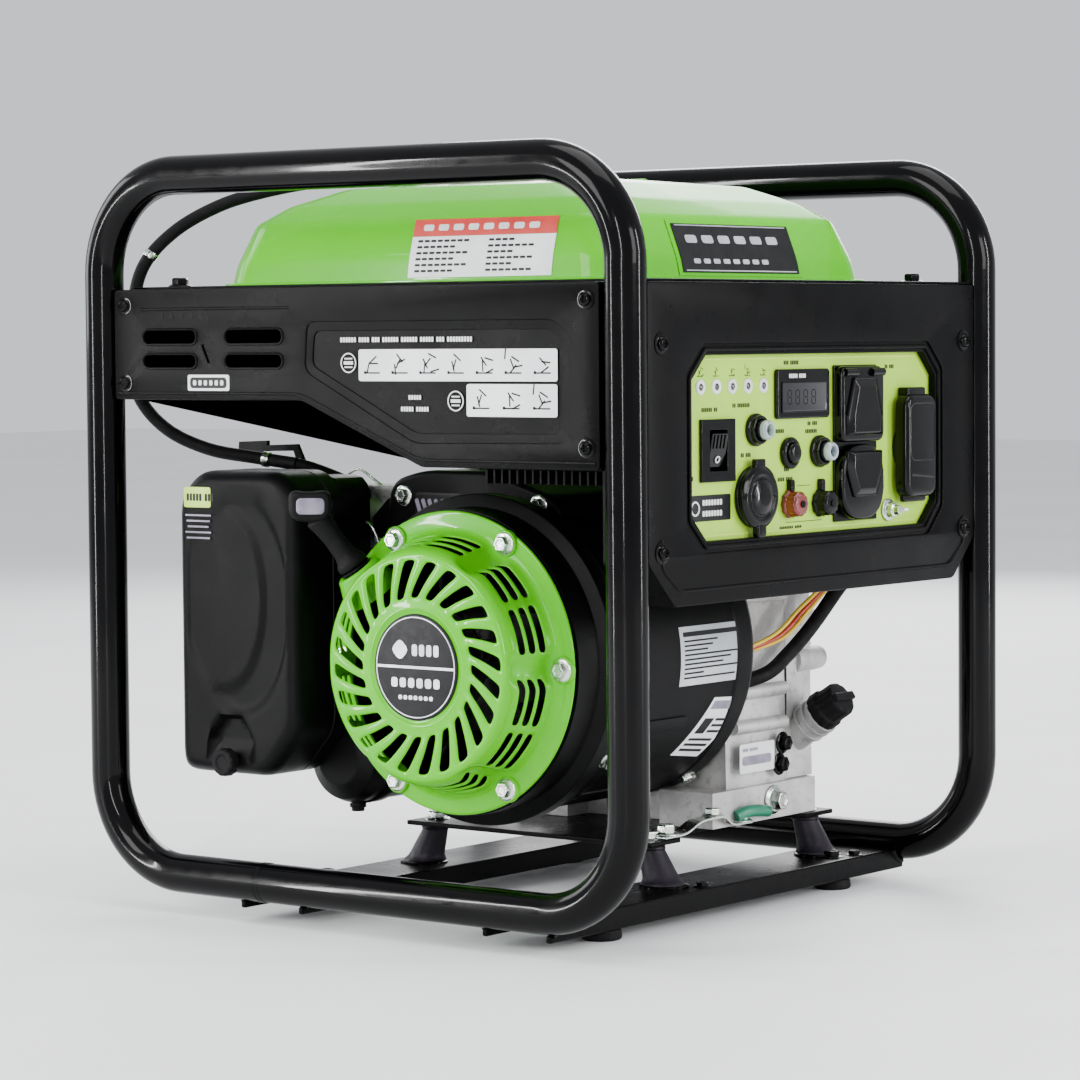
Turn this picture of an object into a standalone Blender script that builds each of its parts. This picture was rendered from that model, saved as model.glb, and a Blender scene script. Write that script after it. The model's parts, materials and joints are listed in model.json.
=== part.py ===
"""Open-frame inverter generator: two tube hoops joined by base rails and sheet panels carry a small
single-cylinder engine with a flywheel alternator, a fuel tank, an air cleaner and an outlet panel.

Units are metres and +Z is up. The origin is on the floor under the middle of the hoops.
+X is the outlet panel's end and -Y is the recoil starter's side.
"""

from math import cos, pi, radians, sin

import bmesh
import bpy
from mathutils import Matrix, Vector

GAP = 0.0003
SHEET = 0.0015

# Tube hoops
TUBE_R = 0.0127
HOOP_X = 0.2076
HOOP_Y = 0.1945
HOOP_LOW_Z = 0.0247
HOOP_TOP_Z = 0.4678
HOOP_BEND_R = 0.062
HOOP_BEND_STEPS = 6
INNER_Y = HOOP_Y - TUBE_R - 0.0005

# Base rails, feet and rubber mounts
RAIL_W = 0.052
RAIL_LOW_Z = 0.007
RAIL_TOP_Z = 0.0205
RAIL_WALL = 0.004
RAIL_X = {"panel_end": 0.124, "filter_end": -0.070}
FOOT_R = 0.0125
FOOT_Y = 0.127
MOUNT_Y = {"near": -0.044, "far": 0.130}
MOUNT_LEAN = 0.011
MOUNT_BASE_R = 0.0135
MOUNT_TOP_R = 0.0085
CRADLE_Z = (0.0468, 0.0498)
MOUNT_TOP_Z = CRADLE_Z[0] - GAP

# Panels and tank support
DECK_Z = (0.3965, 0.3980)
DECK_X = (-0.195, 0.2114)
PANEL_TOP_Z = DECK_Z[0] - GAP
SIDE_PANEL_Y = 0.1995
SIDE_PANEL_X = 0.193
SIDE_PANEL_LIP = 0.0135
SIDE_PANEL_SHALLOW_Z = 0.3264
SIDE_PANEL_DEEP_Z = 0.287
CONTROL_X = 0.212
CONTROL_DEPTH = 0.032
CONTROL_Y = 0.1812
CONTROL_LOW_Z = 0.206
CONTROL_CORNER = 0.026

# Outlet faceplate
FACE_X = 0.2065
FACE_Y = 0.1355
FACE_Z = (0.243, 0.353)
FACE_CORNER = 0.015
FACE_T = 0.002
FRONT_X = FACE_X + GAP

# Fuel tank
TANK_X = 0.163
TANK_Y = 0.140
TANK_SEAM_Z = DECK_Z[1] + GAP
TANK_WALL = 0.0015
CAP_X = -0.045
CAP_TOP_Z = 0.4795

# Vapour hose, from the tank's vent valve round to the air cleaner
VENT_AT = (-0.0800, -0.0450)
HOSE_ROUTE = [
    (-0.0860, -0.0494, 0.4692), (-0.1050, -0.0620, 0.4688), (-0.1290, -0.0790, 0.4662),
    (-0.1560, -0.0990, 0.4600), (-0.1780, -0.1180, 0.4510), (-0.1960, -0.1400, 0.4350),
    (-0.2090, -0.1560, 0.4130), (-0.2140, -0.1620, 0.3850), (-0.2145, -0.1640, 0.3540),
    (-0.2110, -0.1600, 0.3270), (-0.1960, -0.1500, 0.3060), (-0.1720, -0.1360, 0.2930),
    (-0.1440, -0.1220, 0.2875), (-0.1180, -0.1120, 0.2835),
]

# Engine: the crankshaft runs along Y through (CRANK_X, CRANK_Z)
CRANK_X = 0.043
CRANK_Z = 0.165
CRANK_R = 0.0125
CRANK_THROW = 0.027
CYLINDER_TILT = radians(25)
CYLINDER_Y = (0.036, 0.104)
BORE_R = 0.0353
CASE_Y = (0.0345, 0.1040)
COVER_BACK_Y = 0.134
DRUM_R = 0.0975
DRUM_BACK_Y = 0.034
RECOIL_FACE_Y = -0.188
RECOIL_DEPTH = 0.0355
RECOIL_FLANGE_R = 0.0935
OIL_NECK = ((0.1080, 0.121, 0.0990), (0.1335, 0.121, 0.1155))

# Air cleaner and canister
AIR_X = (-0.163, -0.0615)
AIR_Z = (0.088, 0.281)
AIR_Y = (-0.1785, -0.1285, -0.100)
THROAT_X = -0.086
THROAT_Z = 0.245
KNOB_AT = (-0.1180, 0.0965)
CANISTER_R = 0.029
CANISTER_AT = (-0.072, 0.096)

materials = {}


def material(name, colour, roughness, metallic):
    made = bpy.data.materials.new(name)
    made.use_nodes = True
    shader = made.node_tree.nodes["Principled BSDF"]
    shader.inputs["Base Color"].default_value = (*colour, 1)
    shader.inputs["Roughness"].default_value = roughness
    shader.inputs["Metallic"].default_value = metallic
    materials[name] = made


def finish(name, bm, look, sharp=30):
    """A bmesh becomes an object with outward faces, a material and smooth round sides."""
    bmesh.ops.remove_doubles(bm, verts=bm.verts, dist=1e-6)
    bmesh.ops.recalc_face_normals(bm, faces=bm.faces)
    mesh = bpy.data.meshes.new(name)
    bm.to_mesh(mesh)
    bm.free()
    mesh.materials.append(materials[look])
    mesh.shade_smooth()
    mesh.set_sharp_from_angle(angle=radians(sharp))
    obj = bpy.data.objects.new(name, mesh)
    bpy.context.scene.collection.objects.link(obj)
    return obj


def place(axis, u, v, w):
    """A point from two coordinates across an axis and one along it."""
    return {"X": (w, u, v), "Y": (u, w, v), "Z": (u, v, w)}[axis]


def chain(name, rings, look, closed=False, sharp=30):
    """Rings of equal length joined in turn. Open chains have flat ends, or a point where a ring is one point."""
    bm = bmesh.new()
    loops = [[bm.verts.new(point) for point in ring] for ring in rings]
    pairs = list(zip(loops, loops[1:]))
    if closed:
        pairs.append((loops[-1], loops[0]))
    for one, two in pairs:
        count = max(len(one), len(two))
        for i in range(count):
            j = (i + 1) % count
            corners = [one[i % len(one)], one[j % len(one)], two[j % len(two)], two[i % len(two)]]
            bm.faces.new(list(dict.fromkeys(corners)))
    if not closed:
        for end in (loops[0], loops[-1]):
            if len(end) > 2:
                bm.faces.new(end)
    return finish(name, bm, look, sharp)


def prism(name, outline, axis, low, high, look):
    return chain(name, [[place(axis, u, v, w) for u, v in outline] for w in (low, high)], look)


def box(name, x, y, z, look):
    return prism(name, [(x[0], y[0]), (x[1], y[0]), (x[1], y[1]), (x[0], y[1])], "Z", z[0], z[1], look)


def turned(name, profile, axis, centre, look, sides=24, closed=False):
    """A profile of (radius, place along the axis) turned about an axis through centre."""
    rings = []
    for radius, w in profile:
        angles = [0] if radius == 0 else [2 * pi * i / sides for i in range(sides)]
        ring = [(centre[0] + radius * cos(a), centre[1] + radius * sin(a)) for a in angles]
        rings.append([place(axis, u, v, w) for u, v in ring])
    return chain(name, rings, look, closed)


def rod(name, start, end, radius, look, sides=16):
    """A round bar between two points."""
    start, end = Vector(start), Vector(end)
    turn = (end - start).to_track_quat("Z", "Y")
    rings = []
    for middle in (start, end):
        angles = [2 * pi * i / sides for i in range(sides)]
        rings.append([middle + turn @ Vector((radius * cos(a), radius * sin(a), 0)) for a in angles])
    return chain(name, rings, look)


def tool(target, cutter, operation):
    cutter.hide_render = True
    cutter.display_type = "WIRE"
    step = target.modifiers.new(f"{operation.lower()} {cutter.name}", "BOOLEAN")
    step.operation = operation
    step.object = cutter
    return target


def cut(target, cutter):
    return tool(target, cutter, "DIFFERENCE")


def unite(target, other):
    return tool(target, other, "UNION")


def round_rect(u, v, radius, steps=3):
    """Corner points of a rectangle u[0]..u[1] by v[0]..v[1] with rounded corners."""
    centres = [
        (u[1] - radius, v[1] - radius), (u[0] + radius, v[1] - radius),
        (u[0] + radius, v[0] + radius), (u[1] - radius, v[0] + radius),
    ]
    points = []
    for quarter, (cu, cv) in enumerate(centres):
        for i in range(steps + 1):
            a = (quarter + i / steps) * pi / 2
            points.append((cu + radius * cos(a), cv + radius * sin(a)))
    return points


def chamfered(u, v, corner):
    return [
        (u[0] + corner, v[0]), (u[1] - corner, v[0]), (u[1], v[0] + corner), (u[1], v[1] - corner),
        (u[1] - corner, v[1]), (u[0] + corner, v[1]), (u[0], v[1] - corner), (u[0], v[0] + corner),
    ]


def curve(name, points, radius, look, resolution, cyclic=False):
    data = bpy.data.curves.new(name, "CURVE")
    data.dimensions = "3D"
    data.bevel_depth = radius
    data.bevel_resolution = resolution
    data.use_fill_caps = True
    spline = data.splines.new("POLY")
    spline.points.add(len(points) - 1)
    for point, place_at in zip(spline.points, points):
        point.co = (*place_at, 1)
        point.radius = 1
    spline.use_cyclic_u = cyclic
    spline.use_smooth = True
    data.materials.append(materials[look])
    obj = bpy.data.objects.new(name, data)
    bpy.context.scene.collection.objects.link(obj)
    return obj


def along(points, per_span):
    """Points on a smooth Catmull-Rom curve through the given ones."""
    route = [Vector(p) for p in points]
    route = [2 * route[0] - route[1], *route, 2 * route[-1] - route[-2]]
    found = []
    for a, b, c, d in zip(route, route[1:], route[2:], route[3:]):
        for i in range(per_span):
            t = i / per_span
            found.append(0.5 * (2 * b + (c - a) * t + (2 * a - 5 * b + 4 * c - d) * t**2
                                + (3 * b - a - 3 * c + d) * t**3))
    return [*found, route[-2]]


def set_pivot(obj, point):
    """Moves an object's origin to a joint's axis and leaves its shape where it is."""
    obj.data.transform(Matrix.Translation(-Vector(point)))
    obj.location = point
    return obj


def from_crank(distance, side=0):
    """(x, z) at a distance from the crankshaft along the tilted cylinder, and off to its upper side."""
    c, s = cos(CYLINDER_TILT), sin(CYLINDER_TILT)
    return (CRANK_X - c * distance + s * side, CRANK_Z + s * distance + c * side)


# --- Frame -------------------------------------------------------------------------------------

def make_hoops():
    outline = round_rect((-HOOP_X, HOOP_X), (HOOP_LOW_Z, HOOP_TOP_Z), HOOP_BEND_R, HOOP_BEND_STEPS)
    for name, y in (("recoil_side_loop", -HOOP_Y), ("muffler_side_loop", HOOP_Y)):
        curve(name, [(x, y, z) for x, z in outline], TUBE_R, "gloss_black", 4, cyclic=True)


def make_rails():
    half = RAIL_W / 2
    for name, x in RAIL_X.items():
        outline = [
            (x - half, RAIL_LOW_Z), (x - half + RAIL_WALL, RAIL_LOW_Z),
            (x - half + RAIL_WALL, RAIL_TOP_Z - RAIL_WALL), (x + half - RAIL_WALL, RAIL_TOP_Z - RAIL_WALL),
            (x + half - RAIL_WALL, RAIL_LOW_Z), (x + half, RAIL_LOW_Z),
            (x + half, RAIL_TOP_Z), (x - half, RAIL_TOP_Z),
        ]
        rail = prism(f"base_rail_{name}", outline, "Y", -HOOP_Y, HOOP_Y, "gloss_black")
        for side in (-1, 1):
            saddle = rod(f"saddle_{name}_{side}", (x - RAIL_W, side * HOOP_Y, HOOP_LOW_Z),
                         (x + RAIL_W, side * HOOP_Y, HOOP_LOW_Z), TUBE_R + GAP, "gloss_black", 24)
            cut(rail, saddle)


def make_feet():
    stem_r = 0.006
    top = RAIL_TOP_Z - RAIL_WALL - GAP
    shoulder = RAIL_LOW_Z - GAP
    profile = [(0, 0), (0.0113, 0), (FOOT_R, 0.0012), (FOOT_R, shoulder), (stem_r, shoulder),
               (stem_r, top), (0, top)]
    x_of = {"panel_end": RAIL_X["panel_end"] + 0.0130, "filter_end": RAIL_X["filter_end"] - 0.0130}
    for end, x in x_of.items():
        for side, y in (("near", -FOOT_Y), ("far", FOOT_Y)):
            turned(f"foot_{end}_{side}", profile, "Z", (x, y), "rubber", 16)


def make_mounts():
    """Rubber cones that lean in from each rail to the engine cradle."""
    profile = [(MOUNT_BASE_R, 0), (MOUNT_BASE_R, 0.1), (MOUNT_BASE_R * 0.9, 0.18),
               (MOUNT_TOP_R, 0.9), (MOUNT_TOP_R * 1.12, 1)]
    low = RAIL_TOP_Z + GAP
    sides = 14
    for end, x in RAIL_X.items():
        inward = -1 if end == "panel_end" else 1
        for side, y in MOUNT_Y.items():
            rings = []
            for radius, share in profile:
                cx = x + inward * MOUNT_LEAN * share
                z = low + (MOUNT_TOP_Z - low) * share
                angles = [2 * pi * i / sides for i in range(sides)]
                rings.append([(cx + radius * cos(a), y + radius * sin(a), z) for a in angles])
            chain(f"rubber_mount_{end}_{side}", rings, "rubber")


def make_cradle():
    """Flat plate under the engine with an ear over each rubber mount."""
    middle = (RAIL_X["filter_end"] + RAIL_X["panel_end"]) / 2
    ear_x, waist_x = 0.0985, 0.0795
    ear_half, slope = 0.016, 0.010
    near, far = ((y - ear_half, y + ear_half) for y in MOUNT_Y.values())
    half = [(ear_x, near[0]), (ear_x, near[1]), (waist_x, near[1] + slope),
            (waist_x, far[0] - slope), (ear_x, far[0]), (ear_x, far[1])]
    outline = [(middle + x, y) for x, y in half] + [(middle - x, y) for x, y in reversed(half)]
    prism("engine_cradle", outline, "Z", *CRADLE_Z, "gloss_black")


# --- Panels ------------------------------------------------------------------------------------

def make_side_panel(name, side, slots):
    """Sheet tray between the hoop's uprights, deeper at the outlet end, open towards the engine."""
    def outline(inset):
        x, low, high = SIDE_PANEL_X - inset, SIDE_PANEL_SHALLOW_Z + inset, PANEL_TOP_Z - inset
        deep = SIDE_PANEL_DEEP_Z + inset
        return [(-x, low), (-0.035, low), (0.060, deep), (x, deep), (x, high), (-x, high)]

    front = side * SIDE_PANEL_Y
    back = side * (SIDE_PANEL_Y - SIDE_PANEL_LIP)
    panel = prism(name, outline(0), "Y", front, back, "satin_black")
    hollow = prism(f"{name}_hollow", outline(SHEET), "Y", front - side * SHEET, back - side * 0.01,
                   "satin_black")
    cut(panel, hollow)
    for i, (x, z) in enumerate(slots):
        cutter = box(f"{name}_slot_{i}", x, sorted((front - side * 0.02, front + side * 0.005)), z,
                     "satin_black")
        cut(panel, cutter)


def make_side_panels():
    left, right = (-0.168, -0.122), (-0.098, -0.050)
    upper, lower = (0.361, 0.371), (0.346, 0.3555)
    slots = [(left, upper), (left, lower), (right, upper), (right, lower)]
    make_side_panel("recoil_side_panel", -1, slots)
    make_side_panel("muffler_side_panel", 1, slots)


def make_tank_support():
    """Flat ring that the tank hangs in, with a skirt down its filter end."""
    deck = box("tank_support", DECK_X, (-INNER_Y, INNER_Y), DECK_Z, "satin_black")
    skirt = box("tank_support_skirt", (DECK_X[0], DECK_X[0] + SHEET), (-0.175, 0.175),
                (0.356, DECK_Z[1] - 0.0002), "satin_black")
    unite(deck, skirt)
    opening = box("tank_support_opening", (-TANK_X + 0.006, TANK_X - 0.006),
                  (-TANK_Y + 0.006, TANK_Y - 0.006), (0.38, 0.42), "satin_black")
    cut(deck, opening)


def control_outline(inset):
    y, low, high = CONTROL_Y - inset, CONTROL_LOW_Z + inset, PANEL_TOP_Z - inset
    c = CONTROL_CORNER
    return [(-y + c, low), (y - c, low), (y, low + c), (y, high), (-y, high), (-y, low + c)]


def make_control_panel():
    back = CONTROL_X - CONTROL_DEPTH
    panel = prism("control_panel", control_outline(0), "X", back, CONTROL_X, "satin_black")
    hollow = prism("control_panel_hollow", control_outline(SHEET), "X", back - 0.01, CONTROL_X - SHEET,
                   "satin_black")
    cut(panel, hollow)
    rim_w = 0.002
    rim = prism("control_panel_rim", chamfered((-FACE_Y - rim_w, FACE_Y + rim_w),
                (FACE_Z[0] - rim_w, FACE_Z[1] + rim_w), FACE_CORNER), "X", FRONT_X, CONTROL_X - SHEET / 2,
                "satin_black")
    unite(panel, rim)
    window = prism("control_panel_window", chamfered((-FACE_Y, FACE_Y), FACE_Z, FACE_CORNER), "X",
                   back, CONTROL_X + 0.01, "satin_black")
    cut(panel, window)


# --- Outlet faceplate --------------------------------------------------------------------------

SWITCH = ((-0.1209, -0.0858), (0.2775, 0.3149))
METER = ((-0.0419, 0.0160), (0.3134, 0.3437))
BREAKERS = {"dc_breaker_button": (-0.063, 0.3075), "ac_breaker_button": (0.0067, 0.2926)}
RESET = (-0.0261, 0.2924)
DC_SOCKET = (-0.066, 0.2672)
TERMINALS = {"positive_terminal": (-0.0263, 0.2613), "negative_terminal": (0.0075, 0.2606)}
GROUND = (0.0860, 0.2530)
OUTLET_Y = (0.0226, 0.0710)
OUTLET_Z = (0.2480, 0.3455)
OUTLET_SPLIT_Z = 0.2968
TWIST_Y = (0.0910, 0.1264)
TWIST_Z = (0.2603, 0.3266)


def hole(plate, name, centre, radius):
    cut(plate, rod(name, (0.19, *centre), (0.22, *centre), radius, "faceplate", 16))


def slab(plate, name, y, z, look):
    """A cutter for a rectangular opening."""
    cut(plate, box(name, (0.19, 0.22), y, z, look))


def make_faceplate():
    rim = 0.0017
    plate = prism("outlet_faceplate", chamfered((-FACE_Y - rim, FACE_Y + rim),
                  (FACE_Z[0] - rim, FACE_Z[1] + rim), FACE_CORNER), "X", FACE_X - FACE_T, FACE_X,
                  "faceplate")
    inner = 0.003
    slab(plate, "switch_opening", (SWITCH[0][0] + inner, SWITCH[0][1] - inner),
         (SWITCH[1][0] + inner, SWITCH[1][1] - inner), "faceplate")
    for name, centre in (*BREAKERS.items(), ("reset_button", RESET)):
        hole(plate, f"{name}_hole", centre, 0.0068)
    hole(plate, "dc_socket_hole", DC_SOCKET, 0.0148)
    for name, centre in (*TERMINALS.items(), ("ground_terminal", GROUND)):
        hole(plate, f"{name}_hole", centre, 0.0036)
    slab(plate, "outlet_opening", (OUTLET_Y[0] + 0.006, OUTLET_Y[1] - 0.006),
         (OUTLET_Z[0] + 0.006, OUTLET_Z[1] - 0.006), "faceplate")
    hole(plate, "twist_lock_hole", (sum(TWIST_Y) / 2, 0.2925), 0.0146)


def make_switch():
    bezel, well = 0.0021, 0.005
    body = box("engine_switch_body", (FRONT_X, FRONT_X + bezel), *SWITCH, "outlet_black")
    inner_y = (SWITCH[0][0] + 0.0035, SWITCH[0][1] - 0.0035)
    inner_z = (SWITCH[1][0] + 0.0035, SWITCH[1][1] - 0.0035)
    unite(body, box("engine_switch_case", (0.184, FRONT_X + 0.001), inner_y, inner_z, "outlet_black"))
    opening_y = (inner_y[0] + well, inner_y[1] - well)
    opening_z = (inner_z[0] + 0.003, inner_z[1] - 0.003)
    cut(body, box("engine_switch_well", (0.190, 0.22), opening_y, opening_z, "outlet_black"))
    middle = sum(opening_z) / 2
    pivot_x = 0.2045
    tip = 0.0102
    shape = [(-0.0060, 0), (-0.0010, -tip), (0.0012, -tip), (0.0040, 0), (0.0058, tip), (0.0010, tip)]
    outline = [(pivot_x + x, middle + z) for x, z in shape]
    rocker = prism("engine_switch_rocker", outline, "Y", opening_y[0] + 0.0008, opening_y[1] - 0.0008,
                   "outlet_black")
    set_pivot(rocker, (pivot_x, sum(opening_y) / 2, middle))


def make_buttons():
    for name, centre in BREAKERS.items():
        profile = [(0, 0.196), (0.0064, 0.196), (0.0064, 0.2105), (0.0055, 0.2120), (0.0055, 0.2152),
                   (0.0040, 0.2164), (0, 0.2164)]
        turned(name, profile, "X", centre, "outlet_black", 16)
    profile = [(0, 0.196), (0.0064, 0.196), (0.0064, 0.2125), (0.0052, 0.2135), (0, 0.2135)]
    turned("reset_button", profile, "X", RESET, "outlet_black", 16)


def make_dc_socket():
    profile = [(0, 0.178), (0.0143, 0.178), (0.0143, FRONT_X), (0.0190, FRONT_X),
               (0.0190, 0.2100), (0.0105, 0.2100), (0.0105, 0.181), (0, 0.181)]
    turned("dc_socket", profile, "X", DC_SOCKET, "outlet_black", 20)
    cap = turned("dc_socket_cap", [(0, 0.2072), (0.0095, 0.2072), (0.0095, 0.2103), (0.0188, 0.2103),
                 (0.0195, 0.2112), (0.0195, 0.2133), (0.0170, 0.2150), (0, 0.2150)], "X", DC_SOCKET,
                 "outlet_black", 20)
    top = DC_SOCKET[1] + 0.0185
    tab_y = (DC_SOCKET[0] - 0.0045, DC_SOCKET[0] + 0.0045)
    unite(cap, box("dc_socket_cap_hinge", (0.2103, 0.2135), tab_y, (top - 0.004, top + 0.0045),
                   "outlet_black"))
    low = DC_SOCKET[1] - 0.0185
    unite(cap, box("dc_socket_cap_tab", (0.2103, 0.2135), tab_y, (low - 0.004, low + 0.004),
                   "outlet_black"))
    set_pivot(cap, (0.2119, DC_SOCKET[0], top + 0.0045))


def make_terminals():
    for name, centre in TERMINALS.items():
        look = "terminal_red" if name.startswith("positive") else "outlet_black"
        profile = [(0, 0.196), (0.0032, 0.196), (0.0032, FRONT_X), (0.0078, FRONT_X), (0.0078, 0.2095),
                   (0.0060, 0.2105), (0.0060, 0.2165), (0.0048, 0.2175), (0, 0.2175)]
        turned(name, profile, "X", centre, look, 12)
    profile = [(0, 0.196), (0.0030, 0.196), (0.0030, FRONT_X), (0.0070, FRONT_X), (0.0070, 0.2085),
               (0.0035, 0.2090), (0.0035, 0.2165), (0, 0.2165)]
    nut = turned("ground_terminal", profile, "X", GROUND, "zinc", 12)
    wing = box("ground_terminal_wing", (0.2105, 0.2158), (GROUND[0] - 0.0095, GROUND[0] + 0.0095),
               (GROUND[1] - 0.0014, GROUND[1] + 0.0014), "zinc")
    unite(nut, wing)
    set_pivot(nut, (0.2130, *GROUND))


def make_outlets():
    inset = 0.0065
    frame_front = 0.2085
    block = box("receptacle_block", (FRONT_X, frame_front), OUTLET_Y, OUTLET_Z, "outlet_black")
    core = box("receptacle_core", (0.182, FRONT_X + 0.001), (OUTLET_Y[0] + inset, OUTLET_Y[1] - inset),
               (OUTLET_Z[0] + inset, OUTLET_Z[1] - inset), "outlet_black")
    unite(block, core)
    back, front = frame_front + GAP, 0.2185
    lip, slope, round_off = 0.0038, 0.008, 0.003
    seams = {"upper": (OUTLET_Z[1], OUTLET_SPLIT_Z + GAP), "lower": (OUTLET_Z[0], OUTLET_SPLIT_Z - GAP)}
    for name, (hinge, free) in seams.items():
        way = 1 if free > hinge else -1
        outline = [(back, hinge), (back, free), (front - round_off, free), (front, free - way * round_off),
                   (front, hinge + way * slope), (back + lip, hinge)]
        cover = prism(f"{name}_receptacle_cover", outline, "Y", *OUTLET_Y, "outlet_black")
        set_pivot(cover, (back + 0.0005, sum(OUTLET_Y) / 2, hinge))


def make_twist_lock():
    middle = sum(TWIST_Y) / 2
    seat = 0.2095
    profile = [(0, 0.184), (0.0140, 0.184), (0.0140, FRONT_X), (0.0172, FRONT_X), (0.0172, seat), (0, seat)]
    turned("twist_lock_receptacle", profile, "X", (middle, 0.2925), "outlet_black", 20)
    outline = round_rect(TWIST_Y, TWIST_Z, 0.009)
    inner = round_rect((TWIST_Y[0] + 0.004, TWIST_Y[1] - 0.004), (TWIST_Z[0] + 0.004, TWIST_Z[1] - 0.004),
                       0.006)
    levels = [(seat + GAP, outline), (0.2180, outline), (0.2200, inner)]
    cover = chain("twist_lock_cover", [[(x, y, z) for y, z in points] for x, points in levels],
                  "outlet_black")
    set_pivot(cover, (seat + 0.001, middle, TWIST_Z[1]))


def make_meter():
    rings = [(FRONT_X, 0), (0.2090, 0), (0.2098, 0.0012)]
    levels = []
    for x, inset in rings:
        y = (METER[0][0] + inset, METER[0][1] - inset)
        z = (METER[1][0] + inset, METER[1][1] - inset)
        levels.append([(x, u, v) for u, v in chamfered(y, z, 0.0015)])
    chain("display_meter", levels, "outlet_black")


def make_inverter():
    """Finned aluminium case behind the outlet panel, under the tank."""
    case = box("inverter_module", (0.062, 0.165), (-0.150, 0.150), (0.284, 0.334), "satin_black")
    fins = 7
    for i in range(fins):
        y = -0.126 + 0.042 * i
        cut(case, box(f"inverter_groove_{i}", (0.05, 0.18), (y - 0.008, y + 0.008), (0.27, 0.292),
                      "satin_black"))


# --- Tank --------------------------------------------------------------------------------------

def tank_ring(x_low, x_high, y_half, corner, z, inset=0):
    outline = round_rect((x_low + inset, x_high - inset), (-y_half + inset, y_half - inset),
                         max(corner - inset, 0.004), 3)
    return [(x, y, z) for x, y in outline]


def make_tank():
    """Two pressed shells that meet at the support's level, the upper one with a bevelled crown."""
    levels = [(-TANK_X, TANK_X, TANK_Y, 0.030, TANK_SEAM_Z), (-0.160, 0.160, 0.138, 0.030, 0.412),
              (-0.150, 0.148, 0.131, 0.030, 0.4385), (-0.136, 0.134, 0.117, 0.028, 0.450),
              (-0.112, 0.110, 0.092, 0.026, 0.4605), (-0.070, 0.068, 0.050, 0.024, 0.4645)]
    outer = [tank_ring(*level) for level in levels]
    inner = [tank_ring(*level[:4], level[4] - (0 if i == 0 else TANK_WALL), TANK_WALL)
             for i, level in enumerate(levels)]
    upper = chain("tank_upper_shell", inner[::-1] + outer, "lime_paint", sharp=40)
    unite(upper, rod("vent_valve", (*VENT_AT, 0.4560), (*VENT_AT, 0.4735), 0.0070, "lime_paint", 12))
    neck_r = 0.021
    cut(upper, rod("filler_hole", (CAP_X, 0, 0.440), (CAP_X, 0, 0.480), neck_r, "lime_paint", 20))
    top = TANK_SEAM_Z - GAP
    under = 0.0085
    levels = [(-TANK_X + under, TANK_X - under, TANK_Y - under, 0.024, top),
              (-TANK_X + 0.011, TANK_X - 0.011, TANK_Y - 0.011, 0.024, 0.365),
              (-0.130, 0.130, 0.110, 0.024, 0.3435)]
    outer = [tank_ring(*level) for level in levels]
    inner = [tank_ring(*level[:4], level[4] + (0 if i == 0 else TANK_WALL), TANK_WALL)
             for i, level in enumerate(levels)]
    chain("tank_lower_shell", inner[::-1] + outer, "lime_paint", sharp=40)
    skirt_top = CAP_TOP_Z - 0.0035
    profile = [(0, 0.4615), (0.0195, 0.4615), (0.0195, 0.4652), (0.0275, 0.4652), (0.0285, 0.4668),
               (0.0285, skirt_top), (0.0255, CAP_TOP_Z), (0, CAP_TOP_Z)]
    cap = turned("fuel_cap", profile, "Z", (CAP_X, 0), "rubber", 24)
    set_pivot(cap, (CAP_X, 0, 0.4652))


# --- Engine ------------------------------------------------------------------------------------

def case_outline(inset):
    """Crankcase seen along the crankshaft: upright sides, and a deck square to the cylinder."""
    deck = 0.062 - inset
    low = 0.0715 + inset
    return [
        (0.117 - inset, low), (0.115 - inset, 0.200), (0.090 - inset / 2, 0.238 - inset),
        (from_crank(deck, 0.0515)[0] + inset / 2, 0.238 - inset), from_crank(deck, -0.045 + inset),
        (-0.028 + inset, low),
    ]


def make_crankcase():
    wall = 0.006
    case = prism("crankcase", case_outline(0), "Y", *CASE_Y, "cast_aluminium")
    foot_z = (CRADLE_Z[1] + GAP, 0.0730)
    unite(case, box("crankcase_foot", (-0.045, 0.122), (CASE_Y[0], 0.130), foot_z, "cast_aluminium"))
    for name, reach in (("near_panel", 0.079), ("near_filter", -0.079)):
        lug_x = sorted((CRANK_X + reach, CRANK_X + reach * 0.47))
        unite(case, box(f"crankcase_lug_{name}", lug_x, (0.012, CASE_Y[0] + 0.006), foot_z,
                        "cast_aluminium"))
    cut(case, prism("crankcase_hollow", case_outline(wall), "Y", CASE_Y[0] + wall, CASE_Y[1] + 0.05,
                    "cast_aluminium"))
    cut(case, rod("crankcase_bearing", (CRANK_X, 0.02, CRANK_Z), (CRANK_X, 0.05, CRANK_Z),
                  CRANK_R + 0.0008, "cast_aluminium", 20))
    near, far = from_crank(0.045), from_crank(0.075)
    middle_y = sum(CYLINDER_Y) / 2
    cut(case, rod("crankcase_bore", (near[0], middle_y, near[1]), (far[0], middle_y, far[1]), 0.0325,
                  "cast_aluminium", 20))


def make_case_cover():
    wall = 0.005
    cover = prism("crankcase_side_cover", case_outline(0), "Y", CASE_Y[1] + GAP, COVER_BACK_Y,
                  "cast_aluminium")
    cut(cover, box("side_cover_foot_room", (-0.05, 0.13), (0.1, 0.16), (0.04, 0.0735), "cast_aluminium"))
    cut(cover, prism("side_cover_hollow", case_outline(wall + 0.002), "Y", CASE_Y[1] - 0.01,
                     COVER_BACK_Y - wall, "cast_aluminium"))
    low, top = Vector(OIL_NECK[0]), Vector(OIL_NECK[1])
    beyond = (top - low) * 0.3
    unite(cover, rod("oil_neck", low, top, 0.0120, "cast_aluminium", 14))
    cut(cover, rod("oil_neck_bore", low - beyond, top + beyond, 0.0085, "cast_aluminium", 12))


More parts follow.
